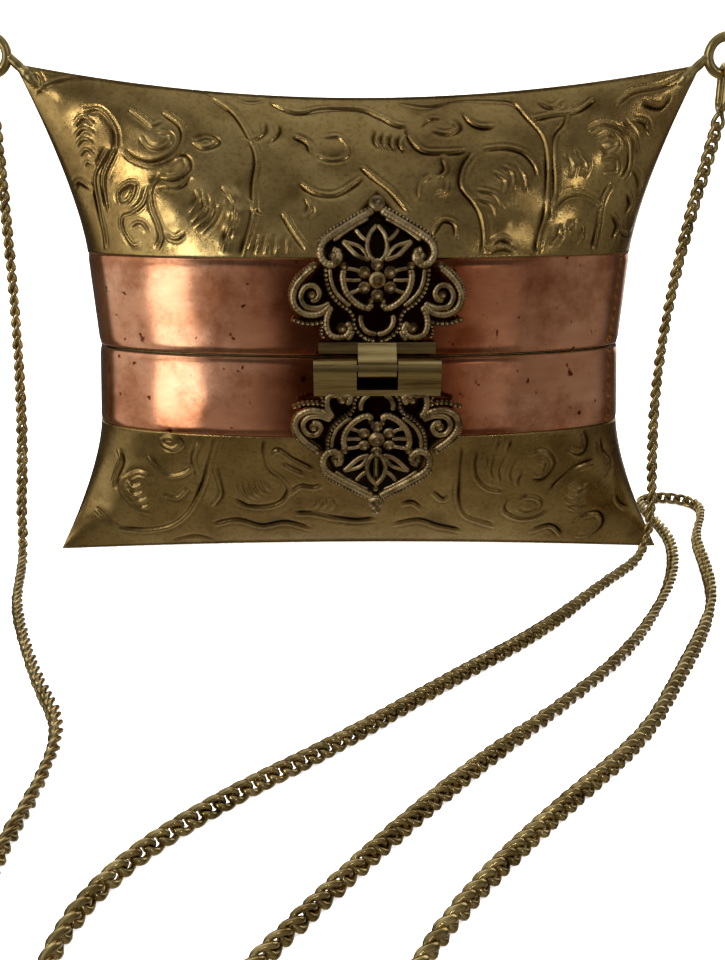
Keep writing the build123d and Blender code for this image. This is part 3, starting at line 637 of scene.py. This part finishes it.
def shell(name, root_z, corner_z, dip, strokes, swells):
    """An embossed half shell, from its band's edge to its pinched edge, with its inner skin."""
    rise = 1 if corner_z > root_z else -1
    rows, columns = ((150, 1240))
    steps = np.linspace(0, 1, rows) ** 0.92
    # columns crowd less at the ends of the ellipse, where the face turns to the back
    turns = np.linspace(0, 2 * math.pi, columns, endpoint=False)
    t, turn = np.meshgrid(steps, turns, indexing="ij")
    width = BAND_X + (CORNER_X - BAND_X) * t**FLARE_POWER
    depth = np.maximum(BODY_B * np.maximum(1 - t, 0) ** PINCH_POWER, EDGE_B * 0.9)
    x = width * np.cos(turn)
    y = -depth * np.sin(turn)
    edge_z = corner_z - rise * dip * (1 - np.cos(turn) ** 2)
    z = root_z + (edge_z - root_z) * t
    skin = np.stack([x, y, z], axis=-1)
    # outward directions from the grid itself
    along = np.gradient(skin, axis=0)
    around = np.roll(skin, -1, axis=1) - np.roll(skin, 1, axis=1)
    outward = np.cross(around, along) * -rise
    outward /= np.linalg.norm(outward, axis=-1, keepdims=True) + 1e-12
    # the pattern was laid out on a plane leaning with the eye, so it stretches a little up the slope
    across = x / MM * np.where(np.sin(turn) >= 0, 1, -1)
    inward = (BODY_B - depth) * np.abs(np.sin(turn))
    up = (0.953 * np.abs(z - root_z) + rise * 0.302 * inward) / MM
    reach = np.broadcast_to(up[-1], up.shape)
    height = relief(across, up, reach, strokes, swells)
    side_fade = np.clip(np.abs(np.sin(turn)) * 3.0, 0, 1)
    height = height * side_fade
    outer = skin + outward * (height * MM)[..., None]
    outer[..., 1] += MID_Y
    inner = skin - outward * 0.8 * MM * np.clip((1 - t) * 3, 0.1, 1)[..., None]
    inner[..., 1] += MID_Y
    points = np.concatenate([outer.reshape(-1, 3), inner.reshape(-1, 3)])
    count = rows * columns
    faces = grid_faces(rows, columns, wrap_columns=True)
    inside = [face[::-1] for face in grid_faces(rows, columns, wrap_columns=True, start=count)]
    for j in range(columns):
        k = (j + 1) % columns
        inside.append((k, j, count + j, count + k))
    last = (rows - 1) * columns
    half = columns // 2
    for j in range(half):
        far = last + (columns - j) % columns
        inside.append((last + j, last + j + 1, last + (columns - j - 1) % columns, far))
    faces = faces + inside
    if rise < 0:
        faces = [face[::-1] for face in faces]
    obj = new_object(name, points, faces, SHELL_BRASS)
    # the relief attribute: darker in the embossing's grooves, and painted shade under and round the clasp's
    # casting
    shade = np.clip(0.5 + height / 0.5, 0, 1)
    clasp_up = (z / MM - BASE_Z) if rise > 0 else (HASP_START_Z - z / MM) / math.cos(HASP_TURN) + HASP_SKIP
    casting_shade = painted_casting_shade((x - CLASP_X) / MM, clasp_up, 0.12) * (np.sin(turn) > 0)
    shade = (shade * (1 - 0.97 * casting_shade)).reshape(-1)
    layer = obj.data.attributes.new("relief", "FLOAT", "POINT")
    layer.data.foreach_set("value", np.concatenate([shade, np.full(count, 0.5)]).astype(np.float32))
    return obj


upper_relief = shell("upper_shell_embossed", band_high[2], shell_high[2], TOP_DIP, UPPER_MOTIFS, UPPER_SWELLS)
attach(upper_relief, "upper_half")
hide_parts("upper_shell")

lower_relief = shell(
    "lower_shell_embossed", lower_low[2], foot_low[2], BOTTOM_DIP, LOWER_MOTIFS, LOWER_SWELLS
)
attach(lower_relief, "lower_half")
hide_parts("lower_shell")


# Copper bands --------------------------------------------------------------------------------------


def band(name, seam_z, shell_z, dents):
    """A hammered copper band: an elliptical sleeve with rounded lips and shallow dents."""
    columns = 900
    wall = 0.9 * MM
    lip = 0.25 * MM
    rise = 1 if shell_z > seam_z else -1
    # the section runs up the outside and down the inside
    outside = np.linspace(0, 1, 36)
    section = [(-lip, 0.0), *[(-lip * max(0, 1 - 14 * min(s, 1 - s)), s) for s in outside], (-lip, 1.0)]
    section += [(-wall, 1.0), (-wall, 0.0)]
    turns = np.linspace(0, 2 * math.pi, columns, endpoint=False)
    points = []
    stains_and_casting_shade = []
    for inset, share in section:
        z = seam_z + (shell_z - seam_z) * share
        width = SEAM_X + (BAND_X - SEAM_X) * share + inset
        depth = BODY_B + inset
        x, y = width * np.cos(turns), -depth * np.sin(turns)
        bend = np.zeros(columns)
        if inset > -wall:
            for dx, dz, radius, push in dents:
                near = ((x / MM - dx) ** 2 + (share * 20 - dz) ** 2) / radius**2
                bend -= push * MM * np.exp(-near) * (np.sin(turns) > 0)
            bend += 0.05 * MM * np.sin(x / MM * 0.23 + 2 * share) * np.sin(share * math.pi)
        scale = 1 + bend / BODY_B
        points.append(np.stack([x, y * scale + MID_Y, np.full(columns, z)], axis=-1))
        clasp_up = z / MM - BASE_Z if rise > 0 else (HASP_START_Z - z / MM) / math.cos(HASP_TURN) + HASP_SKIP
        # painted shade under the casting's openings and round the clasp, kept off the inner wall
        casting_shade = painted_casting_shade((x - CLASP_X) / MM, np.full(columns, clasp_up), 0.78) * (np.sin(turns) > 0)
        stains_and_casting_shade.append(1 - casting_shade * (inset > -wall))
    points = np.concatenate(points)
    faces = grid_faces(len(section), columns, wrap_columns=True, wrap_rows=True)
    if rise < 0:
        faces = [face[::-1] for face in faces]
    obj = new_object(name, points, faces, COPPER)
    # the attribute carries the painted shade: 1 where none is painted
    layer = obj.data.attributes.new("unshaded", "FLOAT", "POINT")
    layer.data.foreach_set("value", np.concatenate(stains_and_casting_shade).astype(np.float32))
    return obj


UPPER_DENTS = (
    (-46, 10, 4, 0.12), (-33, 12, 5, 0.15), (-25, 6, 4, 0.1),
    (30, 10, 6, 0.18), (38, 6, 4, 0.12), (50, 13, 5, 0.1),
)
LOWER_DENTS = (
    (-40, 10, 4, 0.14), (-30, 14, 4, 0.12), (-20, 8, 5, 0.1),
    (28, 8, 5, 0.16), (36, 12, 4, 0.14), (48, 7, 5, 0.1),
)

for band_name, body, seam_edge, shell_edge, dents in (
    ("upper_band", "upper_half", band_low[2], band_high[2], UPPER_DENTS),
    ("lower_band", "lower_half", lower_high[2], lower_low[2], LOWER_DENTS),
):
    sleeve = band(band_name + "_hammered", seam_edge, shell_edge, dents)
    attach(sleeve, body)
    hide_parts(band_name)


# Filigree castings ---------------------------------------------------------------------------------

# The design of one casting's right side, in millimetres: across from its middle and up from its
# straight end. Wires are (radius, points), and beaded rows are (radius, points).
FILIGREE_WIRES = (
    (0.72, ((0.8, 28.4), (3.6, 26.7), (6.5, 24.9), (9.4, 23.0), (11.4, 21.2), (12.0, 19.0), (11.2, 16.9),
            (9.5, 16.3), (8.1, 17.4), (8.3, 19.1), (9.6, 19.6))),
    (0.38, ((1.8, 26.6), (4.2, 25.3), (6.9, 23.5), (9.2, 21.6))),
    (0.45, ((0.0, 16.2), (1.5, 18.2), (2.1, 20.6), (1.5, 23.2), (0.0, 25.2))),
    (0.5, ((1.5, 17.2), (4.2, 18.3), (7.4, 21.6))),
    (0.4, ((1.7, 17.4), (3.6, 20.2), (7.4, 21.6))),
    (0.42, ((2.2, 21.6), (3.4, 22.6), (4.6, 24.2))),
    (0.62, ((7.0, 15.6), (7.3, 13.6), (6.7, 11.0), (5.2, 8.9), (3.3, 7.5), (1.7, 7.2), (1.2, 8.3))),
    (0.40, ((10.0, 15.4), (9.7, 12.8), (8.8, 10.6), (7.2, 8.8), (5.6, 7.6))),
    (0.38, ((3.1, 14.6), (4.6, 15.2), (6.6, 15.5))),
    (0.38, ((3.0, 11.7), (4.4, 10.8), (6.3, 10.2))),
    (0.36, ((3.4, 13.1), (5.2, 13.0), (7.2, 13.2))),
    (0.5, ((3.4, 5.8), (3.5, 4.4), (2.9, 2.9), (1.6, 1.9), (0.0, 1.6))),
    (0.62, ((13.2, 15.8), (15.2, 14.2), (17.1, 12.0), (17.9, 9.5), (17.0, 7.0), (14.7, 5.8),
            (12.0, 6.1), (9.8, 7.8))),
    (0.55, ((10.0, 8.2), (12.6, 7.2), (15.2, 7.6), (16.2, 9.6), (15.3, 11.6), (13.4, 11.9), (12.3, 10.4),
            (12.9, 9.0), (14.2, 8.9))),
    (0.6, ((9.6, 7.6), (10.6, 5.6), (10.8, 3.4), (10.0, 1.5), (8.2, 0.9),
           (6.4, 1.5), (5.8, 3.0), (6.6, 4.2))),
    (0.45, ((5.0, 2.4), (5.6, 1.2), (6.4, 0.2))),
    (0.5, ((2.2, 0.8), (2.6, 0.2))),
)
FILIGREE_BEADS = (
    (0.62, ((10.9, 15.6), (10.7, 12.8), (9.8, 10.2), (7.9, 8.0), (5.9, 6.6), (5.0, 5.0),
            (4.9, 3.4), (3.7, 1.6),
            (1.9, 0.5), (0.0, 0.2))),
    (0.55, ((1.4, 29.0), (4.2, 27.6), (7.2, 25.8), (10.2, 23.8), (12.5, 21.4))),
    (0.66, ((11.4, 4.3), (13.4, 3.9), (15.8, 4.0), (18.4, 4.9))),
    (0.5, ((11.6, 3.6), (12.0, 2.2), (11.4, 0.6))),
    (0.4, ((13.8, 16.4), (16.0, 14.8), (18.0, 12.4), (18.6, 9.6), (17.8, 6.8))),
)
FILIGREE_BALLS = (
    (9.3, 18.2, 1.0), (7.1, 15.9, 1.0), (13.3, 16.0, 0.95),
    (13.9, 9.9, 1.0), (7.6, 3.0, 1.15), (1.3, 8.7, 0.7),
)
FLOWER_UP = 13.1
TIP_UP = 30.0
WIRE_GAIN = 1.28


def wire_profile(path, roped):
    """Relative radius along a cast wire: rounded ends, and shallow notches like a rope's on heavy wires."""
    steps = np.linalg.norm(np.diff(np.array(path), axis=0), axis=1)
    place = np.concatenate([[0], np.cumsum(steps)])
    profile = 1 + (0.07 * np.cos(place * 2 * math.pi / 0.85) if roped else 0.02 * np.cos(place * 5))
    from_end = np.minimum(place, place[-1] - place)
    return profile * np.sqrt(np.clip(0.25 + from_end / 0.5, 0.25, 1))


def casting(drop_below=-1.0):
    """The filigree in its own plane: x across, y up from its straight end, z out of its face."""
    pile = Pile()
    for side in (1, -1):
        for radius, points in FILIGREE_WIRES:
            path = [(side * x, y, 0) for x, y in points]
            path = [p for p in smooth_path(path, 10) if p[1] > drop_below]
            if len(path) > 3:
                pile.tube(path, radius * WIRE_GAIN * wire_profile(path, radius > 0.55), sides=10)
        for radius, points in FILIGREE_BEADS:
            path = [(side * x, y, 0) for x, y in points]
            for bead in spaced(smooth_path(path, 8), radius * 1.55):
                if bead[1] > drop_below:
                    pile.ball(bead, radius, rings=5, sides=8)
        for x, y, radius in FILIGREE_BALLS:
            if y > drop_below:
                pile.ball((side * x, y, 0.15), radius, rings=6, sides=12)
    pile.ball((0, FLOWER_UP, 0.1), 1.9, rings=7, sides=18, squash=0.42)
    for i in range(6):
        turn = math.radians(30 + 60 * i)
        place = (3.2 * math.cos(turn), FLOWER_UP + 3.2 * math.sin(turn), 0.0)
        pile.ball(place, 1.4, rings=6, sides=12, squash=0.55)
    pile.ball((0, TIP_UP, 0.0), 1.9, rings=7, sides=18, squash=0.4)
    return pile


def on_clasp_plate(p):
    """Casting plane to the upper plate: upright over the band and bent back over the shell."""
    x, up, out = p
    flat = BEND_Z - BASE_Z
    out = out - MID_DEPTH
    if up <= flat:
        return np.array((CLASP_X / MM + x, FACE_Y - out, BASE_Z + up)) * MM
    over = up - flat
    y = FACE_Y + over * math.sin(BEND_TURN) - out * math.cos(BEND_TURN)
    z = BEND_Z + over * math.cos(BEND_TURN) + out * math.sin(BEND_TURN)
    return np.array((CLASP_X / MM + x, y, z)) * MM


def on_hasp_plate(p):
    x, up, out = p
    down = up - HASP_SKIP
    out = out - MID_DEPTH
    y = HASP_START_Y + down * math.sin(HASP_TURN) - out * math.cos(HASP_TURN)
    z = HASP_START_Z - down * math.cos(HASP_TURN) - out * math.sin(HASP_TURN)
    return np.array((CLASP_X / MM + x, y, z)) * MM


upper_casting = casting().placed(on_clasp_plate)
clasp_filigree = new_object("clasp_filigree", upper_casting.points, upper_casting.faces, CAST_BRASS)
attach(clasp_filigree, "upper_half")
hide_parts("clasp_plate")

lower_casting = casting(drop_below=HASP_SKIP + 0.2)
lower_casting.ball((0, TIP_UP + 2.4, 0.0), 1.2, rings=6, sides=12, squash=0.7)
lower_casting = lower_casting.placed(on_hasp_plate)
hasp_filigree = new_object("hasp_filigree", lower_casting.points, lower_casting.faces, CAST_BRASS)
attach(hasp_filigree, "hasp")
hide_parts("hasp_plate")


# Chain ---------------------------------------------------------------------------------------------

CHAIN_D = 3.4
LAID_Z = CHAIN_D / 2 + 0.05
CHAIN_TOP_Z = 102.6

# The laid route, in millimetres: from the left ring to the table, forward, back to a fold beside the
# right corner, forward again, back, and up to the right ring
ROUTE = [
    (-80.2, 1.8, CHAIN_TOP_Z),
    (-80.0, 1.2, 94),
    (-79.4, -0.5, 80),
    (-79.2, -1.8, 58),
    (-80.3, -1.5, 36),
    (-81.6, -2.0, 21),
    (-82.4, -2.8, 13),
    (-82.2, -4.6, 5.6),
    (-81.0, -9.8, LAID_Z),
    (-79.0, -17.5, LAID_Z),
    (-74.6, -35, LAID_Z),
    (-67.5, -52, LAID_Z),
    (-59.0, -70, LAID_Z),
    (-51.0, -84, LAID_Z),
    (-49.6, -100, LAID_Z),
    (-50.6, -118, LAID_Z),
    (-49.5, -138, LAID_Z),
    (-44.0, -156, LAID_Z),
    (-27.5, -166, LAID_Z),
    (-9.0, -160, LAID_Z),
    (0.5, -145, LAID_Z),
    (12.0, -126, LAID_Z),
    (27.5, -108, LAID_Z),
    (46.0, -89, LAID_Z),
    (57.5, -70, LAID_Z),
    (71.0, -47, LAID_Z),
    (77.5, -32, LAID_Z),
    (82.0, -14, LAID_Z),
    (85.2, 3, LAID_Z),
    (92.4, 18.6, LAID_Z),
    (94.8, 27.3, LAID_Z),
    (92.5, 32.4, LAID_Z),
    (87.4, 35.0, LAID_Z),
    (81.9, 33.8, LAID_Z),
    (78.3, 29.4, LAID_Z),
    (78.8, 16, LAID_Z),
    (78.6, 1, LAID_Z),
    (73.6, -17, LAID_Z),
    (65.5, -35, LAID_Z),
    (52.0, -58, LAID_Z),
    (34.0, -79, LAID_Z),
    (15.5, -98, LAID_Z),
    (-1.5, -119, LAID_Z),
    (-13.0, -135, LAID_Z),
    (-22.0, -148, LAID_Z),
    (-34.5, -148.5, LAID_Z),
    (-39.0, -136, LAID_Z),
    (-34.5, -120, LAID_Z),
    (-22.0, -105, LAID_Z),
    (-4.0, -89.5, LAID_Z),
    (16.0, -69, LAID_Z),
    (37.0, -49, LAID_Z),
    (55.5, -25, LAID_Z),
    (62.5, -17, LAID_Z),
    (67.0, -11, LAID_Z),
    (70.2, -6.4, 5.6),
    (71.2, -4.6, 13),
    (70.6, -3.6, 22),
    (70.0, -2.4, 40),
    (71.4, -1.6, 60),
    (75.2, -0.4, 82),
    (78.6, 1.0, 95),
    (80.2, 1.8, CHAIN_TOP_Z),
]


def route_line():
    """Points of the chain's smooth route, read from its NURBS spline."""
    curve = bpy.data.curves.new("chain_route", "CURVE")
    curve.dimensions = "3D"
    curve.resolution_u = 16
    spline = curve.splines.new("NURBS")
    spline.points.add(len(ROUTE) - 1)
    for point, place in zip(spline.points, ROUTE):
        point.co = (*(c * MM for c in place), 1)
    spline.order_u = 3
    spline.use_endpoint_u = True
    carrier = bpy.data.objects.new("chain_route", curve)
    mesh = bpy.data.meshes.new_from_object(carrier)
    line = [np.array(vertex.co) for vertex in mesh.vertices]
    line = line[:1] + [b for a, b in zip(line, line[1:]) if np.linalg.norm(b - a) > 0.02 * MM]
    bpy.data.meshes.remove(mesh)
    bpy.data.objects.remove(carrier)
    bpy.data.curves.remove(curve)
    return line


LINK_PITCH = 2.55 * MM
WIRE_R = 0.59 * MM
WIRE_FLAT = 0.8
LINK_HALF_LONG = 1.84 * MM
LINK_HALF_WIDE = 1.12 * MM
LINK_TWIST = 0.52 * MM


def chain_link(centre, along, across):
    """One twisted oval link of round wire."""
    up = np.cross(along, across)
    steps = 22
    path = []
    for i in range(steps):
        turn = 2 * math.pi * i / steps
        path.append(
            centre
            + along * LINK_HALF_LONG * math.cos(turn)
            + across * LINK_HALF_WIDE * math.sin(turn)
            + up * LINK_TWIST * math.sin(2 * turn)
        )
    return path


def chain_mesh(line):
    line = np.array(line)
    steps = np.linalg.norm(np.diff(line, axis=0), axis=1)
    reach = np.concatenate([[0], np.cumsum(steps)])
    count = int(round(reach[-1] / LINK_PITCH))
    pitch = reach[-1] / count
    pile = Pile()

    def at(s):
        return np.array([np.interp(s, reach, line[:, k]) for k in range(3)])

    side = np.array((0.0, 1.0, 0.0))
    for i in range(count):
        s = (i + 0.5) * pitch
        centre = at(s)
        along = at(min(s + pitch / 2, reach[-1])) - at(max(s - pitch / 2, 0))
        along /= np.linalg.norm(along)
        side = side - along * side.dot(along)
        side /= np.linalg.norm(side)
        # the links lie nearly flat, each leaning a little, with a slow twist along the chain
        lean = math.radians(20 * math.sin(s * 29) + 13 * math.sin(s * 83 + 1.0) + 6 * math.sin(i * 2.4) - 12)
        flat = np.cross(along, side)
        lying = side * math.cos(lean) + flat * math.sin(lean)
        link = chain_link(centre, along, lying)
        pile.tube(link, WIRE_R, sides=8, closed=True, flat=WIRE_FLAT, normal=np.cross(along, lying))
    return pile


route = route_line()
links = chain_mesh(route)
chain = new_object("curb_chain", links.points, links.faces, CHAIN_BRASS)
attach(chain, "upper_half")
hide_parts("chain")


# Corner lugs ---------------------------------------------------------------------------------------


def lug(name, side):
    """A pinched sheet-and-solder lug that swells out of the corner and narrows to its ring's eye."""
    low, high = (np.array(corner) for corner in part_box(name))
    inner = np.array((low[0] if side > 0 else high[0], MID_Y, low[2])) + MM * np.array((side * 0.2, 0, 0.5))
    outer = np.array((high[0] if side > 0 else low[0], MID_Y, high[2])) - MM * np.array((side * 0.9, 0, 0.9))
    pile = Pile()
    shares = (-0.42, -0.2, 0.0, 0.14, 0.3, 0.46, 0.62, 0.78, 0.92, 1.0)
    radii = (0.35, 0.85, 1.2, 1.42, 1.36, 1.12, 1.04, 1.08, 0.95, 0.5)
    path = smooth_path([inner + (outer - inner) * share for share in shares], 4)
    swell = np.interp(np.linspace(0, 1, len(path)), np.linspace(0, 1, len(radii)), radii)
    turns = 1 + 0.05 * np.sin(np.linspace(0, 30, len(path)))
    pile.tube(path, swell * turns * MM, sides=20)
    obj = new_object(name + "_formed", pile.points, pile.faces, PLAIN_BRASS)
    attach(obj, "upper_half")
    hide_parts(name)


lug("left_lug", -1)
lug("right_lug", 1)


# Finishes of the CAD pieces that are seen as they are ----------------------------------------------

FINISHES = {
    "clasp_base": ROLLED_BRASS,
    "hasp_leaf": ROLLED_BRASS,
    "clasp_rivets": CAST_BRASS,
    "staple": CHAIN_BRASS,
    "clasp_pin": PIN_METAL,
    "hinge_pin": PIN_METAL,
    "upper_hinge_leaf": PLAIN_BRASS,
    "lower_hinge_leaf": PLAIN_BRASS,
    "upper_hinge_rivets": PLAIN_BRASS,
    "lower_hinge_rivets": PLAIN_BRASS,
    "inner_rim": PLAIN_BRASS,
    "upper_lining": VELVET,
    "lower_lining": VELVET,
    "left_ring": PLAIN_BRASS,
    "right_ring": PLAIN_BRASS,
    "left_link": CHAIN_BRASS,
    "right_link": CHAIN_BRASS,
}
for node, material in FINISHES.items():
    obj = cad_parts[node]
    obj.data.materials.clear()
    obj.data.materials.append(material)


# Stage, light and camera ---------------------------------------------------------------------------


def stage():
    """A pale round floor whose rim curves up into a wall, so that every view has a plain ground."""
    profile = [(0.0, 0.0), (1.3, 0.0)]
    for i in range(1, 13):
        turn = math.radians(7.5 * i)
        profile.append((1.3 + 0.5 * math.sin(turn), 0.5 - 0.5 * math.cos(turn)))
    profile.append((1.8, 2.6))
    sides = 96
    points = []
    for radius, z in profile:
        for k in range(sides):
            turn = 2 * math.pi * k / sides
            points.append((radius * math.cos(turn), radius * math.sin(turn), z))
    faces = grid_faces(len(profile), sides, wrap_columns=True)
    floor = new_object("stage_floor", points, faces, stage_paper())
    floor.visible_glossy = False


def area_light(name, place, target, size, power, glossy=True):
    light = bpy.data.lights.new(name, "AREA")
    light.shape = "RECTANGLE"
    light.size, light.size_y = size
    light.energy = power
    obj = bpy.data.objects.new(name, light)
    obj.location = place
    obj.rotation_euler = (Vector(target) - Vector(place)).to_track_quat("-Z", "Y").to_euler()
    obj.visible_glossy = glossy
    bpy.context.scene.collection.objects.link(obj)


def direction(azimuth, elevation):
    """A unit vector; azimuth 0 points forward from the purse's front, and grows to its right."""
    turn, rise = math.radians(azimuth), math.radians(elevation)
    return (math.sin(turn) * math.cos(rise), -math.cos(turn) * math.cos(rise), math.sin(rise))


# Bright places round the purse: azimuth, elevation, inner and outer radius in degrees, strength, colour
WORLD_GLOWS = (
    (-62, -2, 24, 30, 0.62, (1.0, 0.98, 0.95)),
    (-43, -10, 7, 9, 2.0, (1.0, 1.0, 0.97)),
    (-43, 5, 6, 9, 1.0, (1.0, 0.99, 0.95)),
    (-25, -8, 6, 13, 0.34, (1.0, 1.0, 0.98)),
    (-62, 26, 10, 28, 0.42, (0.95, 0.97, 1.0)),
    (-38, 29, 2, 5, 1.9, (1, 1, 0.97)),
    (31, 17, 2, 5, 1.3, (1, 1, 0.95)),
    (25, -9, 4, 12, 0.32, (1.0, 1.0, 0.96)),
    (24, -2, 2, 4, 0.7, (1.0, 1.0, 0.98)),
    (58, -8, 14, 36, 0.20, (1.0, 0.97, 0.92)),
    (0, -66, 12, 44, 0.13, (1.0, 0.96, 0.88)),
    (10, 82, 10, 34, 0.30, (0.9, 0.95, 1.0)),
    (140, 12, 14, 26, 1.2, (1, 0.98, 0.95)),
    (-150, 22, 12, 30, 0.9, (0.96, 0.98, 1.0)),
    (180, -50, 20, 50, 0.35, (1, 1, 1)),
    (176, 42, 10, 30, 1.1, (1, 1, 0.98)),
)


def world_light():
    """A dim room with soft bright places, which the metal mirrors."""
    world = bpy.data.worlds.new("studio")
    world.use_nodes = True
    nodes, links = world.node_tree.nodes, world.node_tree.links
    towards = nodes.new("ShaderNodeTexCoord").outputs["Generated"]
    split = nodes.new("ShaderNodeSeparateXYZ")
    links.new(towards, split.inputs["Vector"])
    spread = nodes.new("ShaderNodeMapRange")
    spread.inputs["From Min"].default_value = -1.0
    links.new(split.outputs["Z"], spread.inputs["Value"])
    ramp = nodes.new("ShaderNodeValToRGB")
    stops = ramp.color_ramp.elements
    stops[0].position, stops[0].color = 0.0, (0.19, 0.165, 0.12, 1)
    stops[1].position, stops[1].color = 1.0, (0.34, 0.35, 0.37, 1)
    stops.new(0.46).color = (0.075, 0.07, 0.065, 1)
    stops.new(0.85).color = (0.21, 0.205, 0.20, 1)
    links.new(spread.outputs["Result"], ramp.inputs["Fac"])
    colour = ramp.outputs["Color"]
    for azimuth, elevation, inner, outer, strength, tint in WORLD_GLOWS:
        facing = nodes.new("ShaderNodeVectorMath")
        facing.operation = "DOT_PRODUCT"
        facing.inputs[1].default_value = direction(azimuth, elevation)
        links.new(towards, facing.inputs[0])
        glow = nodes.new("ShaderNodeMapRange")
        glow.interpolation_type = "SMOOTHSTEP"
        glow.inputs["From Min"].default_value = math.cos(math.radians(outer))
        glow.inputs["From Max"].default_value = math.cos(math.radians(inner))
        links.new(facing.outputs["Value"], glow.inputs["Value"])
        add = nodes.new("ShaderNodeMix")
        add.data_type = "RGBA"
        add.blend_type = "ADD"
        links.new(glow.outputs["Result"], add.inputs[0])
        links.new(colour, add.inputs[6])
        add.inputs[7].default_value = tuple(strength * c for c in tint) + (1,)
        colour = add.outputs[2]
    links.new(colour, nodes["Background"].inputs["Color"])
    bpy.context.scene.world = world


def camera():
    place = Vector((-0.002, MID_Y - 0.230, 0.0907))
    yaw, pitch = math.radians(0.68), math.radians(17.6)
    forward = Vector((math.sin(yaw) * math.cos(pitch), math.cos(yaw) * math.cos(pitch), -math.sin(pitch)))
    data = bpy.data.cameras.new("camera")
    data.lens = 36.56
    data.sensor_width = 36
    data.clip_start = 0.01
    obj = bpy.data.objects.new("camera", data)
    obj.location = place
    obj.rotation_euler = forward.to_track_quat("-Z", "Y").to_euler()
    bpy.context.scene.collection.objects.link(obj)
    bpy.context.scene.camera = obj


stage()
world_light()
area_light("window_left", (-0.6, -0.45, 0.5), (0, 0, 0.06), (0.3, 0.4), 5, glossy=False)
area_light("window_right", (0.6, -0.35, 0.6), (0, 0, 0.06), (0.25, 0.4), 3, glossy=False)
area_light("ceiling", (0, -0.15, 1.3), (0, -0.05, 0), (1.6, 1.6), 16, glossy=False)
area_light("stage_wash", (0, 0.25, 1.1), (0, 0.9, 0.15), (1.6, 0.6), 12, glossy=False)
area_light("glint_left", (-0.42, -0.52, 0.42), (0, 0, 0.08), (0.05, 0.16), 0.5)
area_light("glint_right", (0.34, -0.5, 0.36), (0, 0, 0.08), (0.03, 0.09), 0.15)
bpy.context.scene.view_settings.view_transform = "Standard"
camera()
